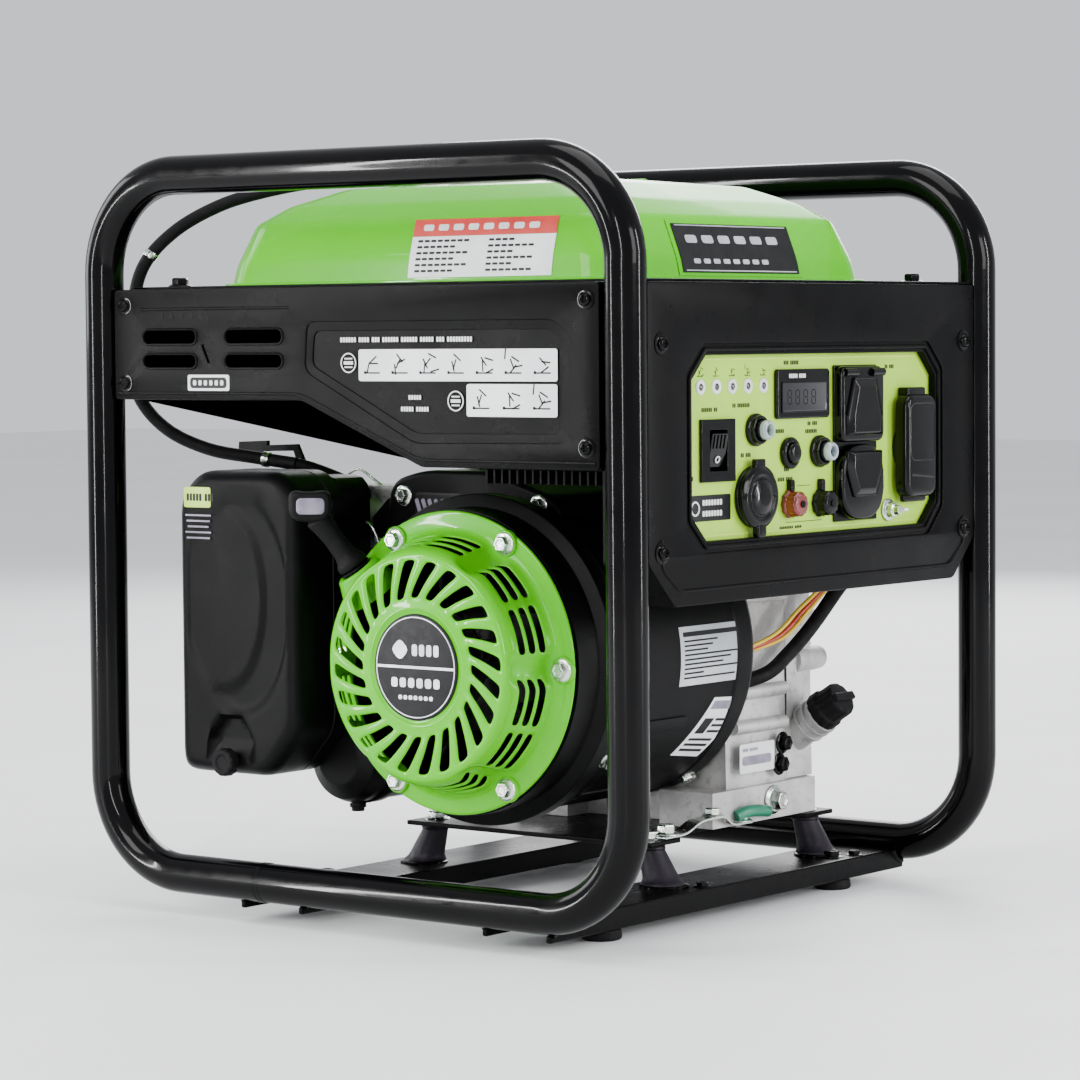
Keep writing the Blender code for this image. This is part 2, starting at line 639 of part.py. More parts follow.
def make_cylinder():
    half = 0.0435
    near, far = 0.0623, 0.1250
    outline = [from_crank(near, -half), from_crank(far, -half), from_crank(far, half),
               from_crank(near, half)]
    block = prism("cylinder_block", outline, "Y", *CYLINDER_Y, "cast_aluminium")
    middle_y = sum(CYLINDER_Y) / 2
    start, end = from_crank(near - 0.01), from_crank(far + 0.01)
    cut(block, rod("cylinder_bore", (start[0], middle_y, start[1]), (end[0], middle_y, end[1]),
                   BORE_R - 0.003, "cast_aluminium", 24))
    steps = [(far + GAP, half), (0.160, half), (0.160, half - 0.008), (0.190, half - 0.010)]
    outline = [from_crank(d, s) for d, s in steps] + [from_crank(d, -s) for d, s in reversed(steps)]
    prism("cylinder_head", outline, "Y", *CYLINDER_Y, "cast_aluminium")


def make_oil_parts():
    low, start = Vector(OIL_NECK[0]), Vector(OIL_NECK[1])
    way = (start - low).normalized()
    cap = rod("oil_filler_cap", start + way * GAP, start + way * 0.026, 0.0135, "rubber", 18)
    unite(cap, rod("oil_filler_plug", start - way * 0.010, start + way * 0.002, 0.0078, "rubber", 12))
    set_pivot(cap, start)
    bolt_at = (0.080, 0.0625)
    rod("oil_drain_bolt", (0.1223, *bolt_at), (0.1310, *bolt_at), 0.0098, "zinc", 6)


def make_alternator():
    centre = (CRANK_X, CRANK_Z)
    back = DRUM_BACK_Y
    inner_r = DRUM_R - 0.0035
    profile = [(0.0860, -0.1485), (0.0945, -0.1485), (0.1030, -0.1250), (0.1030, -0.1120),
               (DRUM_R, -0.1060), (DRUM_R, back), (0.0200, back), (0.0200, back - 0.005),
               (inner_r, back - 0.005), (inner_r, -0.1080), (0.0995, -0.1140), (0.0995, -0.1240),
               (0.0920, -0.1460), (0.0860, -0.1460)]
    turned("alternator_housing", profile, "Y", centre, "satin_black", 40, closed=True)
    stator = [(0.0340, -0.0750), (0.0765, -0.0750), (0.0765, back - 0.0053), (0.0340, back - 0.0053)]
    turned("stator", stator, "Y", centre, "copper", 24, closed=True)
    cup = [(CRANK_R + GAP, -0.1050), (0.0880, -0.1050), (0.0880, 0.0100), (0.0800, 0.0100),
           (0.0800, -0.0970), (0.0300, -0.0970), (0.0300, -0.0800), (CRANK_R + GAP, -0.0800)]
    rotor = turned("rotor_with_fan", cup, "Y", centre, "steel", 24, closed=True)
    blades = 10
    for i in range(blades):
        angle = 2 * pi * i / blades
        blade = box(f"fan_blade_{i}", (0.046, 0.084), (-0.140, -0.103), (-0.0015, 0.0015), "steel")
        lean = Matrix.Translation((0.060, 0, 0)) @ Matrix.Rotation(radians(20), 4, "Y") \
            @ Matrix.Translation((-0.060, 0, 0))
        blade.data.transform(Matrix.Translation((CRANK_X, 0, CRANK_Z))
                             @ Matrix.Rotation(angle, 4, "Y") @ lean)
        unite(rotor, blade)
    set_pivot(rotor, (CRANK_X, -0.1, CRANK_Z))


def make_crankshaft():
    """Two shaft ends and webs joined by an offset pin, shown with the pin towards the cylinder."""
    px, pz = from_crank(CRANK_THROW)
    shaft = rod("crankshaft", (CRANK_X, -0.1460, CRANK_Z), (CRANK_X, 0.0580, CRANK_Z), CRANK_R, "steel", 20)
    pieces = [
        ("crank_end", (CRANK_X, 0.0860, CRANK_Z), (CRANK_X, 0.1280, CRANK_Z), CRANK_R),
        ("crank_web_near", (CRANK_X, 0.0520, CRANK_Z), (CRANK_X, 0.0620, CRANK_Z), 0.0440),
        ("crank_web_far", (CRANK_X, 0.0820, CRANK_Z), (CRANK_X, 0.0920, CRANK_Z), 0.0440),
        ("crank_pin", (px, 0.0600, pz), (px, 0.0840, pz), 0.0145),
    ]
    for name, start, end, radius in pieces:
        unite(shaft, rod(name, start, end, radius, "steel", 20))
    set_pivot(shaft, (CRANK_X, 0, CRANK_Z))


LUG_FROM = Vector((-0.0225, -0.1655, 0.2215))
LUG_WAY = Vector((-0.0200, -0.0250, 0.0435)).normalized()


def make_recoil():
    centre = (CRANK_X, CRANK_Z)
    face = RECOIL_FACE_Y
    back = face + RECOIL_DEPTH
    profile = [(0, face), (0.0660, face), (0.0715, face + 0.0035), (0.0820, back - 0.0005),
               (RECOIL_FLANGE_R, back), (RECOIL_FLANGE_R, back + 0.0025), (0.0800, back + 0.0025),
               (0.0695, face + 0.0055), (0.0650, face + 0.0025), (0, face + 0.0025)]
    cover = turned("recoil_cover", profile, "Y", centre, "lime_paint", 36)
    lug = rod("rope_lug", LUG_FROM - LUG_WAY * 0.022, LUG_FROM, 0.0100, "lime_paint", 12)
    unite(cover, lug)
    cut(cover, rod("rope_hole", LUG_FROM - LUG_WAY * 0.040, LUG_FROM + LUG_WAY * 0.01, 0.0035,
                   "lime_paint", 8))
    profile = [(0.0080, -0.1745), (0.0340, -0.1745), (0.0340, -0.1725), (0.0290, -0.1700),
               (0.0290, -0.1660), (0.0340, -0.1635), (0.0340, -0.1615), (0.0080, -0.1615)]
    pulley = turned("recoil_pulley", profile, "Y", centre, "outlet_black", 24, closed=True)
    set_pivot(pulley, (CRANK_X, -0.168, CRANK_Z))


def make_starter_handle():
    """Sleeve on the rope's guide with a stubby cross grip at its outer end."""
    start = LUG_FROM + LUG_WAY * 0.0004
    handle = rod("starter_handle", start, start + LUG_WAY * 0.044, 0.0080, "rubber", 12)
    facing = Vector((0.69, -0.72, 0.0))
    facing = (facing - LUG_WAY * facing.dot(LUG_WAY)).normalized()
    across = LUG_WAY.cross(facing)
    middle = start + LUG_WAY * 0.0485
    section = round_rect((-0.0105, 0.0105), (-0.0090, 0.0090), 0.003, 2)
    rings = [[middle + across * u + LUG_WAY * v + facing * reach for u, v in section]
             for reach in (-0.0100, 0.0100)]
    unite(handle, chain("starter_grip", rings, "rubber"))
    set_pivot(handle, start)


def make_muffler():
    outline = round_rect((-0.182, -0.060), (0.185, 0.305), 0.022, 3)
    inner = [(x * 0.94 + -0.121 * 0.06, z * 0.94 + 0.245 * 0.06) for x, z in outline]
    levels = [(0.1300, inner), (0.1340, outline), (0.1740, outline), (0.1780, inner)]
    can = chain("muffler", [[(x, y, z) for x, z in points] for y, points in levels], "hot_steel")
    unite(can, rod("muffler_outlet", (-0.170, 0.154, 0.215), (-0.200, 0.154, 0.215), 0.011,
                   "hot_steel", 14))
    cut(can, rod("muffler_outlet_bore", (-0.188, 0.154, 0.215), (-0.210, 0.154, 0.215), 0.0085,
                 "hot_steel", 14))
    pipe = from_crank(0.143, 0.005)
    unite(can, rod("exhaust_pipe", (pipe[0], CYLINDER_Y[1] + GAP, pipe[1]),
                   (pipe[0], 0.140, pipe[1]), 0.013, "hot_steel", 14))


# --- Intake ------------------------------------------------------------------------------------

def make_air_cleaner():
    front, seam, back = AIR_Y
    outline = round_rect(AIR_X, AIR_Z, 0.016, 3)
    small = round_rect((AIR_X[0] + 0.005, AIR_X[1] - 0.005), (AIR_Z[0] + 0.005, AIR_Z[1] - 0.005), 0.013, 3)
    levels = [(front, small), (front + 0.005, outline), (seam - GAP, outline)]
    cover = chain("air_cleaner_cover", [[(x, y, z) for x, z in points] for y, points in levels],
                  "satin_black")
    room = round_rect((AIR_X[0] + 0.003, AIR_X[1] - 0.003), (AIR_Z[0] + 0.003, AIR_Z[1] - 0.003), 0.013, 3)
    cut(cover, prism("air_cleaner_room", room, "Y", front + 0.008, seam + 0.01, "satin_black"))
    base_outline = round_rect((AIR_X[0] + 0.004, AIR_X[1] - 0.004), (0.1285, AIR_Z[1] - 0.004), 0.012, 3)
    base = prism("air_cleaner_base", base_outline, "Y", seam, back, "satin_black")
    cut(base, rod("air_cleaner_throat", (THROAT_X, seam - 0.01, THROAT_Z),
                  (THROAT_X, back + 0.01, THROAT_Z), 0.0125, "satin_black", 16))
    element = round_rect((AIR_X[0] + 0.012, AIR_X[1] - 0.012), (0.140, AIR_Z[1] - 0.012), 0.010, 2)
    prism("air_filter_element", element, "Y", front + 0.014, seam - 0.001, "foam")
    knob = turned("air_cleaner_knob", [(0, -0.1872), (0.0070, -0.1872), (0.0090, -0.1850),
                  (0.0090, front - GAP), (0, front - GAP)], "Y", KNOB_AT, "rubber", 16)
    set_pivot(knob, (KNOB_AT[0], -0.183, KNOB_AT[1]))


def make_carburettor():
    x, z = THROAT_X, THROAT_Z
    throat = rod("carburettor", (x, AIR_Y[2] + GAP, z), (x, CYLINDER_Y[0] - GAP, z), 0.0155,
                 "cast_aluminium", 18)
    unite(throat, box("carburettor_body", (x - 0.022, x + 0.022), (-0.074, -0.034), (z - 0.018, z + 0.024),
                      "cast_aluminium"))
    unite(throat, turned("carburettor_bowl", [(0, 0.192), (0.013, 0.192), (0.017, 0.197), (0.017, 0.235),
                         (0, 0.235)], "Z", (x, -0.054), "cast_aluminium", 18))
    cut(throat, rod("carburettor_bore", (x, AIR_Y[2] - 0.01, z), (x, 0.030, z), 0.0105,
                    "cast_aluminium", 16))


def make_choke_lever():
    """Flat bent arm that turns on the carburettor's choke shaft."""
    y = (-0.0900, -0.0870)
    outline = [(-0.1280, 0.2580), (-0.1220, 0.2580), (-0.1220, 0.2670), (-0.1370, 0.2955),
               (-0.1630, 0.2945), (-0.1630, 0.2975), (-0.1880, 0.2965), (-0.1890, 0.2880),
               (-0.1630, 0.2885), (-0.1630, 0.2905), (-0.1400, 0.2910)]
    lever = prism("choke_lever", outline, "Y", *y, "satin_black")
    boss = (-0.1250, 0.2620)
    unite(lever, rod("choke_boss", (boss[0], -0.0925, boss[1]), (boss[0], -0.0800, boss[1]), 0.0060,
                     "satin_black", 12))
    set_pivot(lever, (boss[0], -0.0885, boss[1]))


def make_canister():
    r = CANISTER_R
    profile = [(0, -0.1280), (r * 0.55, -0.1280), (r * 0.88, -0.1235), (r, -0.1150), (r, -0.0200),
               (0, -0.0200)]
    can = turned("evap_canister", profile, "Y", CANISTER_AT, "satin_black", 24)
    unite(can, rod("canister_drain", (CANISTER_AT[0], -0.108, 0.0610), (CANISTER_AT[0], -0.108, 0.0750),
                   0.0042, "satin_black", 10))


def make_hose():
    curve("evap_hose", along(HOSE_ROUTE, 3), 0.0042, "rubber", 2)


def main():
    for obj in list(bpy.data.objects):
        bpy.data.objects.remove(obj, do_unlink=True)
    material("gloss_black", (0.012, 0.012, 0.014), 0.18, 0)
    material("satin_black", (0.018, 0.018, 0.020), 0.42, 0)
    material("outlet_black", (0.010, 0.010, 0.012), 0.35, 0)
    material("rubber", (0.020, 0.020, 0.022), 0.70, 0)
    material("lime_paint", (0.155, 0.610, 0.010), 0.28, 0)
    material("faceplate", (0.45, 0.68, 0.16), 0.40, 0)
    material("cast_aluminium", (0.42, 0.42, 0.42), 0.50, 1)
    material("steel", (0.45, 0.45, 0.47), 0.35, 1)
    material("hot_steel", (0.30, 0.28, 0.26), 0.50, 1)
    material("zinc", (0.62, 0.64, 0.60), 0.30, 1)
    material("copper", (0.60, 0.28, 0.12), 0.40, 1)
    material("foam", (0.55, 0.50, 0.20), 0.90, 0)
    material("terminal_red", (0.40, 0.02, 0.02), 0.40, 0)
    make_hoops()
    make_rails()
    make_feet()
    make_mounts()
    make_cradle()
    make_side_panels()
    make_tank_support()
    make_control_panel()
    make_faceplate()
    make_switch()
    make_buttons()
    make_dc_socket()
    make_terminals()
    make_outlets()
    make_twist_lock()
    make_meter()
    make_inverter()
    make_tank()
    make_crankcase()
    make_case_cover()
    make_cylinder()
    make_oil_parts()
    make_alternator()
    make_crankshaft()
    make_recoil()
    make_starter_handle()
    make_muffler()
    make_air_cleaner()
    make_carburettor()
    make_choke_lever()
    make_canister()
    make_hose()


main()
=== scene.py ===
import json
from math import cos, degrees, hypot, log, pi, radians, sin, sqrt, tan

import bmesh
import bpy
from mathutils import Matrix, Vector


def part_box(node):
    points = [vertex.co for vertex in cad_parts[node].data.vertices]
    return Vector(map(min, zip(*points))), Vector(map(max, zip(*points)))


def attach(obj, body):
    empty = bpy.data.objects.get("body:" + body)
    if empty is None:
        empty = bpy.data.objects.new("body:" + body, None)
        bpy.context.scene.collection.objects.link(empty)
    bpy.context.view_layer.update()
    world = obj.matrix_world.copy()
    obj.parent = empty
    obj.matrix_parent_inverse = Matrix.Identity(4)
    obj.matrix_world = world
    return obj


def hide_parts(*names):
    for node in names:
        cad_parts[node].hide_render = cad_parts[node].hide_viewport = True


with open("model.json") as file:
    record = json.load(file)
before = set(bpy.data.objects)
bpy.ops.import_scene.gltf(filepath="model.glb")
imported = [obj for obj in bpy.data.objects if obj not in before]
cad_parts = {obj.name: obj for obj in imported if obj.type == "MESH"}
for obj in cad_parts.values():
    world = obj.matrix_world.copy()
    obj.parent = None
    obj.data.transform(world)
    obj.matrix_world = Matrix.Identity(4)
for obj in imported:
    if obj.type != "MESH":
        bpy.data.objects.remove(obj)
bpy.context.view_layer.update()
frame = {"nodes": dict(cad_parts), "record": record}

RECORD = frame["record"]
SLOT_OF_NODE = {row["node"]: row["material_slot"] for row in RECORD["subparts"]}
BODY_OF_NODE = {node: body for body, nodes in RECORD["behaviour"]["bodies"].items() for node in nodes}
X, Y, Z = Vector((1, 0, 0)), Vector((0, 1, 0)), Vector((0, 0, 1))
LOOKS = {}


def node_middle(node):
    low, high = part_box(node)
    return (low + high) / 2


def nodes_named(start):
    return sorted(name for name in frame["nodes"] if name.startswith(start))


# The frame's places that the pieces are worked out from
HOOP_LOW, HOOP_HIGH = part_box("recoil_side_loop")
TUBE_R = (HOOP_HIGH.y - HOOP_LOW.y) / 2
HOOP_Y = -(HOOP_LOW.y + HOOP_HIGH.y) / 2
DECK_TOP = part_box("engine_cradle")[1].z
CRANK = node_middle("alternator_housing")
FACE_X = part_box("outlet_faceplate")[1].x
PANEL_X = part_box("control_panel")[1].x
PANEL_Y = -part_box("recoil_side_panel")[0].y
RECOIL_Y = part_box("recoil_cover")[0].y

# Places that several pieces share
PANEL_MOUNT_X, FILTER_MOUNT_X = 0.124, -0.07
ROPE_START = Vector((-0.0225, -0.1655, 0.2215))
ROPE_WAY = Vector((-0.02, -0.025, 0.0435)).normalized()
CYLINDER_LEAN = radians(25)
DRUM_R = 0.0975
OIL_NECK_FOOT, OIL_NECK_MOUTH = Vector((0.108, 0.121, 0.099)), Vector((0.1335, 0.121, 0.1155))


# --- Camera and light --------------------------------------------------------------------------

def make_camera():
    azimuth, elevation, roll = radians(37.681), radians(3.162), radians(-0.4244)
    back = Vector((sin(azimuth) * cos(elevation), -cos(azimuth) * cos(elevation), sin(elevation)))
    level = Z.cross(back).normalized()
    upright = back.cross(level)
    right = cos(roll) * level + sin(roll) * upright
    up = -sin(roll) * level + cos(roll) * upright
    data = bpy.data.cameras.new("camera")
    data.lens = 123.93
    data.sensor_width = 36
    camera = bpy.data.objects.new("camera", data)
    axes = Matrix((right, up, back)).transposed().to_4x4()
    camera.matrix_world = Matrix.Translation((1.4752, -1.9178, 0.3658)) @ axes
    bpy.context.scene.collection.objects.link(camera)
    bpy.context.scene.camera = camera


def make_lamp(name, place, aim, size, watts, tint=(1, 1, 1)):
    data = bpy.data.lights.new(name, "AREA")
    data.shape = "RECTANGLE"
    data.size, data.size_y = size
    data.energy = watts
    data.color = tint
    lamp = bpy.data.objects.new(name, data)
    lamp.location = place
    lamp.rotation_euler = (Vector(aim) - Vector(place)).to_track_quat("-Z", "Y").to_euler()
    bpy.context.scene.collection.objects.link(lamp)


def make_studio():
    middle = (0, 0, 0.24)
    make_lamp("key", (-0.7, -2.6, 1.5), middle, (1.0, 1.0), 40)
    make_lamp("panel_fill", (2.7, -0.2, 1.1), middle, (0.9, 1.1), 36)
    make_lamp("top", (0.2, -0.1, 2.4), middle, (1.6, 1.6), 42)
    make_lamp("far_fill", (-1.2, 2.5, 1.4), middle, (1.6, 1.6), 62)
    make_lamp("filter_end_fill", (-2.7, -0.6, 1.0), middle, (1.1, 1.3), 34)
    make_lamp("left_strip", (-1.35, -1.75, 0.5), middle, (0.06, 1.5), 40)
    make_lamp("corner_strip", (0.95, -2.35, 0.75), middle, (0.05, 1.3), 26)
    make_lamp("right_strip", (2.2, 0.95, 0.7), middle, (0.07, 1.4), 38)
    world = bpy.data.worlds.new("studio")
    world.use_nodes = True
    background = world.node_tree.nodes["Background"]
    background.inputs["Color"].default_value = (0.93, 0.95, 1.0, 1)
    background.inputs["Strength"].default_value = 0.95
    bpy.context.scene.world = world
    bm = bmesh.new()
    half = 9.0
    bm.faces.new([bm.verts.new((sx * half, sy * half, 0)) for sx,
        sy in ((-1, -1), (1, -1), (1, 1), (-1, 1))])
    mesh = bpy.data.meshes.new("floor")
    bm.to_mesh(mesh)
    bm.free()
    floor = bpy.data.objects.new("floor", mesh)
    bpy.context.scene.collection.objects.link(floor)
    mesh.materials.append(LOOKS["floor"])


# --- Materials ---------------------------------------------------------------------------------

def noise_node(nodes, links, coordinates, scale, detail=4.0, stretch=None):
    if stretch:
        mapping = nodes.new("ShaderNodeMapping")
        mapping.inputs["Scale"].default_value = stretch
        links.new(coordinates, mapping.inputs["Vector"])
        coordinates = mapping.outputs["Vector"]
    texture = nodes.new("ShaderNodeTexNoise")
    texture.inputs["Scale"].default_value = scale
    texture.inputs["Detail"].default_value = detail
    links.new(coordinates, texture.inputs["Vector"])
    return texture.outputs["Fac"]


def ramp_node(nodes, links, value, stops):
    ramp = nodes.new("ShaderNodeValToRGB")
    ramp.color_ramp.elements[0].position = stops[0][0]
    ramp.color_ramp.elements[0].color = (*stops[0][1], 1)
    ramp.color_ramp.elements[1].position = stops[-1][0]
    ramp.color_ramp.elements[1].color = (*stops[-1][1], 1)
    for position, colour in stops[1:-1]:
        ramp.color_ramp.elements.new(position).color = (*colour, 1)
    links.new(value, ramp.inputs["Fac"])
    return ramp.outputs["Color"]


def look(name, dark, light, rough, metallic=0.0, mottle=18, grain=900, depth=0.05, stretch=None, dust=None,
        **constants):
    """A material whose colour, roughness and fine relief vary: mottle is the size of its patches and
    grain the size of its surface texture, both per metre; dust is a colour that settles in patches."""
    made = bpy.data.materials.new(name)
    made.use_nodes = True
    nodes, links = made.node_tree.nodes, made.node_tree.links
    shader = nodes["Principled BSDF"]
    place = nodes.new("ShaderNodeTexCoord").outputs["Object"]
    patches = noise_node(nodes, links, place, mottle)
    colour = ramp_node(nodes, links, patches, [(0.36, dark), (0.64, light)])
    if dust:
        spread = noise_node(nodes, links, place, mottle * 6, 8)
        mask = ramp_node(nodes, links, spread, [(0.56, (0, 0, 0)), (0.8, (1, 1, 1))])
        mix = nodes.new("ShaderNodeMix")
        mix.data_type = "RGBA"
        links.new(mask, mix.inputs["Factor"])
        links.new(colour, mix.inputs["A"])
        mix.inputs["B"].default_value = (*dust, 1)
        colour = mix.outputs["Result"]
    links.new(colour, shader.inputs["Base Color"])
    smear = noise_node(nodes, links, place, mottle * 3.7, 6, stretch)
    spread = nodes.new("ShaderNodeMapRange")
    spread.inputs["From Min"].default_value = 0.3
    spread.inputs["From Max"].default_value = 0.7
    spread.inputs["To Min"].default_value = rough[0]
    spread.inputs["To Max"].default_value = rough[1]
    links.new(smear, spread.inputs["Value"])
    links.new(spread.outputs["Result"], shader.inputs["Roughness"])
    relief = noise_node(nodes, links, place, grain, 3, stretch)
    bump = nodes.new("ShaderNodeBump")
    bump.inputs["Strength"].default_value = depth
    bump.inputs["Distance"].default_value = 0.001
    links.new(relief, bump.inputs["Height"])
    links.new(bump.outputs["Normal"], shader.inputs["Normal"])
    shader.inputs["Metallic"].default_value = metallic
    for socket, value in constants.items():
        shader.inputs[socket.replace("_", " ")].default_value = value
    LOOKS[name] = made


def make_looks():
    look("floor", (0.8, 0.81, 0.82), (0.84, 0.845, 0.85), (0.55, 0.7), mottle=2, grain=300, depth=0.02)
    look("gloss_black", (0.0006, 0.0006, 0.0008), (0.0014, 0.0012, 0.0015), (0.1, 0.22), grain=700,
        depth=0.03, Specular_IOR_Level=0.06, Coat_Weight=0.14, Coat_Roughness=0.05)
    look("satin_black", (0.0008, 0.0008, 0.001), (0.0018, 0.0017, 0.0018), (0.24, 0.36), mottle=9,
        grain=2600, depth=0.12, dust=(0.003, 0.0027, 0.0025), Specular_IOR_Level=0.06)
    look("black_plastic", (0.0014, 0.0014, 0.0016), (0.0028, 0.0028, 0.003), (0.28, 0.4), mottle=14,
        grain=3200, depth=0.18, dust=(0.004, 0.004, 0.004), Specular_IOR_Level=0.08)
    look("outlet_black", (0.0008, 0.0008, 0.001), (0.0018, 0.0018, 0.002), (0.12, 0.22), mottle=40,
        grain=2500, depth=0.05, Specular_IOR_Level=0.08, Coat_Weight=0.24, Coat_Roughness=0.04)
    look("rubber", (0.002, 0.0019, 0.0023), (0.0045, 0.004, 0.0048), (0.5, 0.68), mottle=45, grain=2400,
        depth=0.25, dust=(0.008, 0.0075, 0.008), Specular_IOR_Level=0.12)
    # Mount rubber: the dark colour is the rubber's own, and the violet tint of its base and dust colours is
    # a painted sheen.
    look("mount_rubber_painted_sheen", (0.005, 0.0035, 0.006), (0.011, 0.008, 0.014), (0.32, 0.5), mottle=50, grain=1500,
        depth=0.18, dust=(0.022, 0.018, 0.025), Specular_IOR_Level=0.2)
    look("lime_paint", (0.058, 0.4, 0.0004), (0.078, 0.46, 0.0006), (0.2, 0.32), mottle=5, grain=520,
        depth=0.04, Specular_IOR_Level=0.1, Coat_Weight=0.22, Coat_Roughness=0.05)
    look("faceplate", (0.29, 0.53, 0.022), (0.34, 0.58, 0.035), (0.34, 0.46), mottle=12, grain=1900,
        depth=0.06)
    look("cast_aluminium", (0.36, 0.355, 0.35), (0.56, 0.55, 0.54), (0.4, 0.58), 0.75, mottle=30,
        grain=1100, depth=0.42, dust=(0.27, 0.26, 0.25))
    look("machined", (0.52, 0.52, 0.53), (0.66, 0.66, 0.67), (0.2, 0.34), 1.0, mottle=25, grain=500,
        depth=0.1, stretch=(1, 1, 12))
    look("steel", (0.4, 0.4, 0.42), (0.52, 0.52, 0.54), (0.26, 0.42), 1.0, mottle=30, grain=700, depth=0.12,
        stretch=(1, 9, 1))
    look("hot_steel", (0.22, 0.19, 0.17), (0.42, 0.38, 0.34), (0.38, 0.6), 0.85, mottle=16, grain=900,
        depth=0.22, dust=(0.16, 0.09, 0.06))
    look("zinc", (0.52, 0.6, 0.56), (0.72, 0.74, 0.66), (0.16, 0.3), 1.0, mottle=120, grain=1200, depth=0.1)
    look("copper", (0.42, 0.15, 0.05), (0.62, 0.27, 0.1), (0.26, 0.42), 0.9, mottle=60, grain=1400,
        depth=0.4, stretch=(1, 6, 1))
    look("foam", (0.3, 0.25, 0.07), (0.46, 0.4, 0.14), (0.85, 0.98), mottle=70, grain=1500, depth=0.9)
    look("terminal_red", (0.1, 0.004, 0.003), (0.16, 0.007, 0.005), (0.24, 0.36), mottle=70, grain=1600,
        depth=0.08, Coat_Weight=0.3, Coat_Roughness=0.1)
    look("label_white", (0.66, 0.67, 0.68), (0.76, 0.77, 0.78), (0.3, 0.42), mottle=30, grain=1500,
        depth=0.04)
    look("label_silver", (0.42, 0.44, 0.47), (0.6, 0.62, 0.64), (0.28, 0.4), 0.55, mottle=26, grain=1300,
        depth=0.06)
    look("label_lime", (0.38, 0.6, 0.05), (0.44, 0.66, 0.07), (0.32, 0.44), mottle=30, grain=1500,
        depth=0.04)
    look("label_red", (0.46, 0.02, 0.015), (0.56, 0.035, 0.025), (0.3, 0.42), mottle=30, grain=1500,
        depth=0.04)
    look("ink", (0.004, 0.004, 0.005), (0.008, 0.008, 0.009), (0.34, 0.48), mottle=90, grain=2500,
        depth=0.06, Specular_IOR_Level=0.18)
    look("ink_grey", (0.14, 0.13, 0.18), (0.24, 0.22, 0.28), (0.36, 0.5), mottle=90, grain=2500, depth=0.06)
    look("paint_white", (0.58, 0.58, 0.58), (0.7, 0.7, 0.7), (0.34, 0.46), mottle=60, grain=2200,
        depth=0.06)
    look("dark_glass", (0.003, 0.003, 0.004), (0.007, 0.006, 0.01), (0.03, 0.08), mottle=30, grain=400,
        depth=0.01, Coat_Weight=0.6, Coat_Roughness=0.02)
    look("clear_cap", (0.42, 0.52, 0.56), (0.62, 0.7, 0.74), (0.06, 0.16), mottle=90, grain=900, depth=0.05,
        Coat_Weight=0.8, Coat_Roughness=0.03, Transmission_Weight=0.45, IOR=1.49)
    look("wire_yellow", (0.55, 0.36, 0.015), (0.7, 0.48, 0.03), (0.3, 0.44), mottle=60, grain=1800,
        depth=0.08)
    look("wire_red", (0.3, 0.012, 0.01), (0.42, 0.02, 0.015), (0.3, 0.44), mottle=60, grain=1800,
        depth=0.08)
    look("wire_green", (0.006, 0.14, 0.075), (0.012, 0.2, 0.11), (0.34, 0.48), mottle=60, grain=1800,
        depth=0.1)
    # Near-black matte colour for the outlet slot marks: painted shade of the openings.
    look("hole_shade_black", (0.001, 0.001, 0.001), (0.002, 0.002, 0.002), (0.6, 0.8), mottle=30, grain=1500,
        depth=0.1)


# --- Outlines and local frames -----------------------------------------------------------------

def axes_at(origin, u, v):
    """A local frame: u and v lie in the surface, and local Z stands out of it."""
    u, v = Vector(u).normalized(), Vector(v).normalized()
    turn = Matrix((u, v, u.cross(v))).transposed().to_4x4()
    return Matrix.Translation(origin) @ turn


def pointing(origin, way):
    """A local frame whose Z runs along way."""
    turn = Vector(way).normalized().to_track_quat("Z", "Y").to_matrix().to_4x4()
    return Matrix.Translation(origin) @ turn


def round_rect(u, v, radius, steps=6):
    centres = [(u[1] - radius, v[1] - radius), (u[0] + radius, v[1] - radius),
        (u[0] + radius, v[0] + radius), (u[1] - radius, v[0] + radius)]
    points = []
    for quarter, (cu, cv) in enumerate(centres):
        for i in range(steps + 1):
            a = (quarter + i / steps) * pi / 2
            points.append((cu + radius * cos(a), cv + radius * sin(a)))
    return points


def centred_rect(half_u, half_v, radius, steps=6):
    return round_rect((-half_u, half_u), (-half_v, half_v), radius, steps)


def circle(radius, steps=32, centre=(0, 0)):
    angles = [2 * pi * i / steps for i in range(steps)]
    return [(centre[0] + radius * cos(a), centre[1] + radius * sin(a)) for a in angles]


def chamfered(u, v, corner):
    return [(u[0] + corner, v[0]), (u[1] - corner, v[0]), (u[1], v[0] + corner), (u[1], v[1] - corner),
        (u[1] - corner, v[1]), (u[0] + corner, v[1]), (u[0], v[1] - corner), (u[0], v[0] + corner)]


def soften(points, reach, steps=4, closed=True):
    """The same line with its corners rounded. reach is how far from a corner its curve starts."""
    line = [Vector(p) for p in points]
    found = []
    for i, corner in enumerate(line):
        if not closed and i in (0, len(line) - 1):
            found.append(corner)
            continue
        before, after = line[i - 1], line[(i + 1) % len(line)]
        start = corner + (before - corner).normalized() * min(reach, (before - corner).length * 0.48)
        end = corner + (after - corner).normalized() * min(reach, (after - corner).length * 0.48)
        for k in range(steps + 1):
            t = k / steps
            found.append((1 - t) ** 2 * start + 2 * t * (1 - t) * corner + t**2 * end)
    return found


def along(points, per_span=6):
    """Points on a smooth Catmull-Rom curve through the given ones."""
    route = [Vector(p) for p in points]
    route = [2 * route[0] - route[1], *route, 2 * route[-1] - route[-2]]
    found = []
    for a, b, c, d in zip(route, route[1:], route[2:], route[3:]):
        for i in range(per_span):
            t = i / per_span
            found.append(0.5 * (2 * b + (c - a) * t + (2 * a - 5 * b + 4 * c - d) * t**2
                + (3 * b - a - 3 * c + d) * t**3))
    return [*found, route[-2]]


def smoothstep(low, high, value):
    t = min(max((value - low) / (high - low), 0), 1)
    return t * t * (3 - 2 * t)


# --- Mesh builders: each adds to a bmesh --------------------------------------------------------

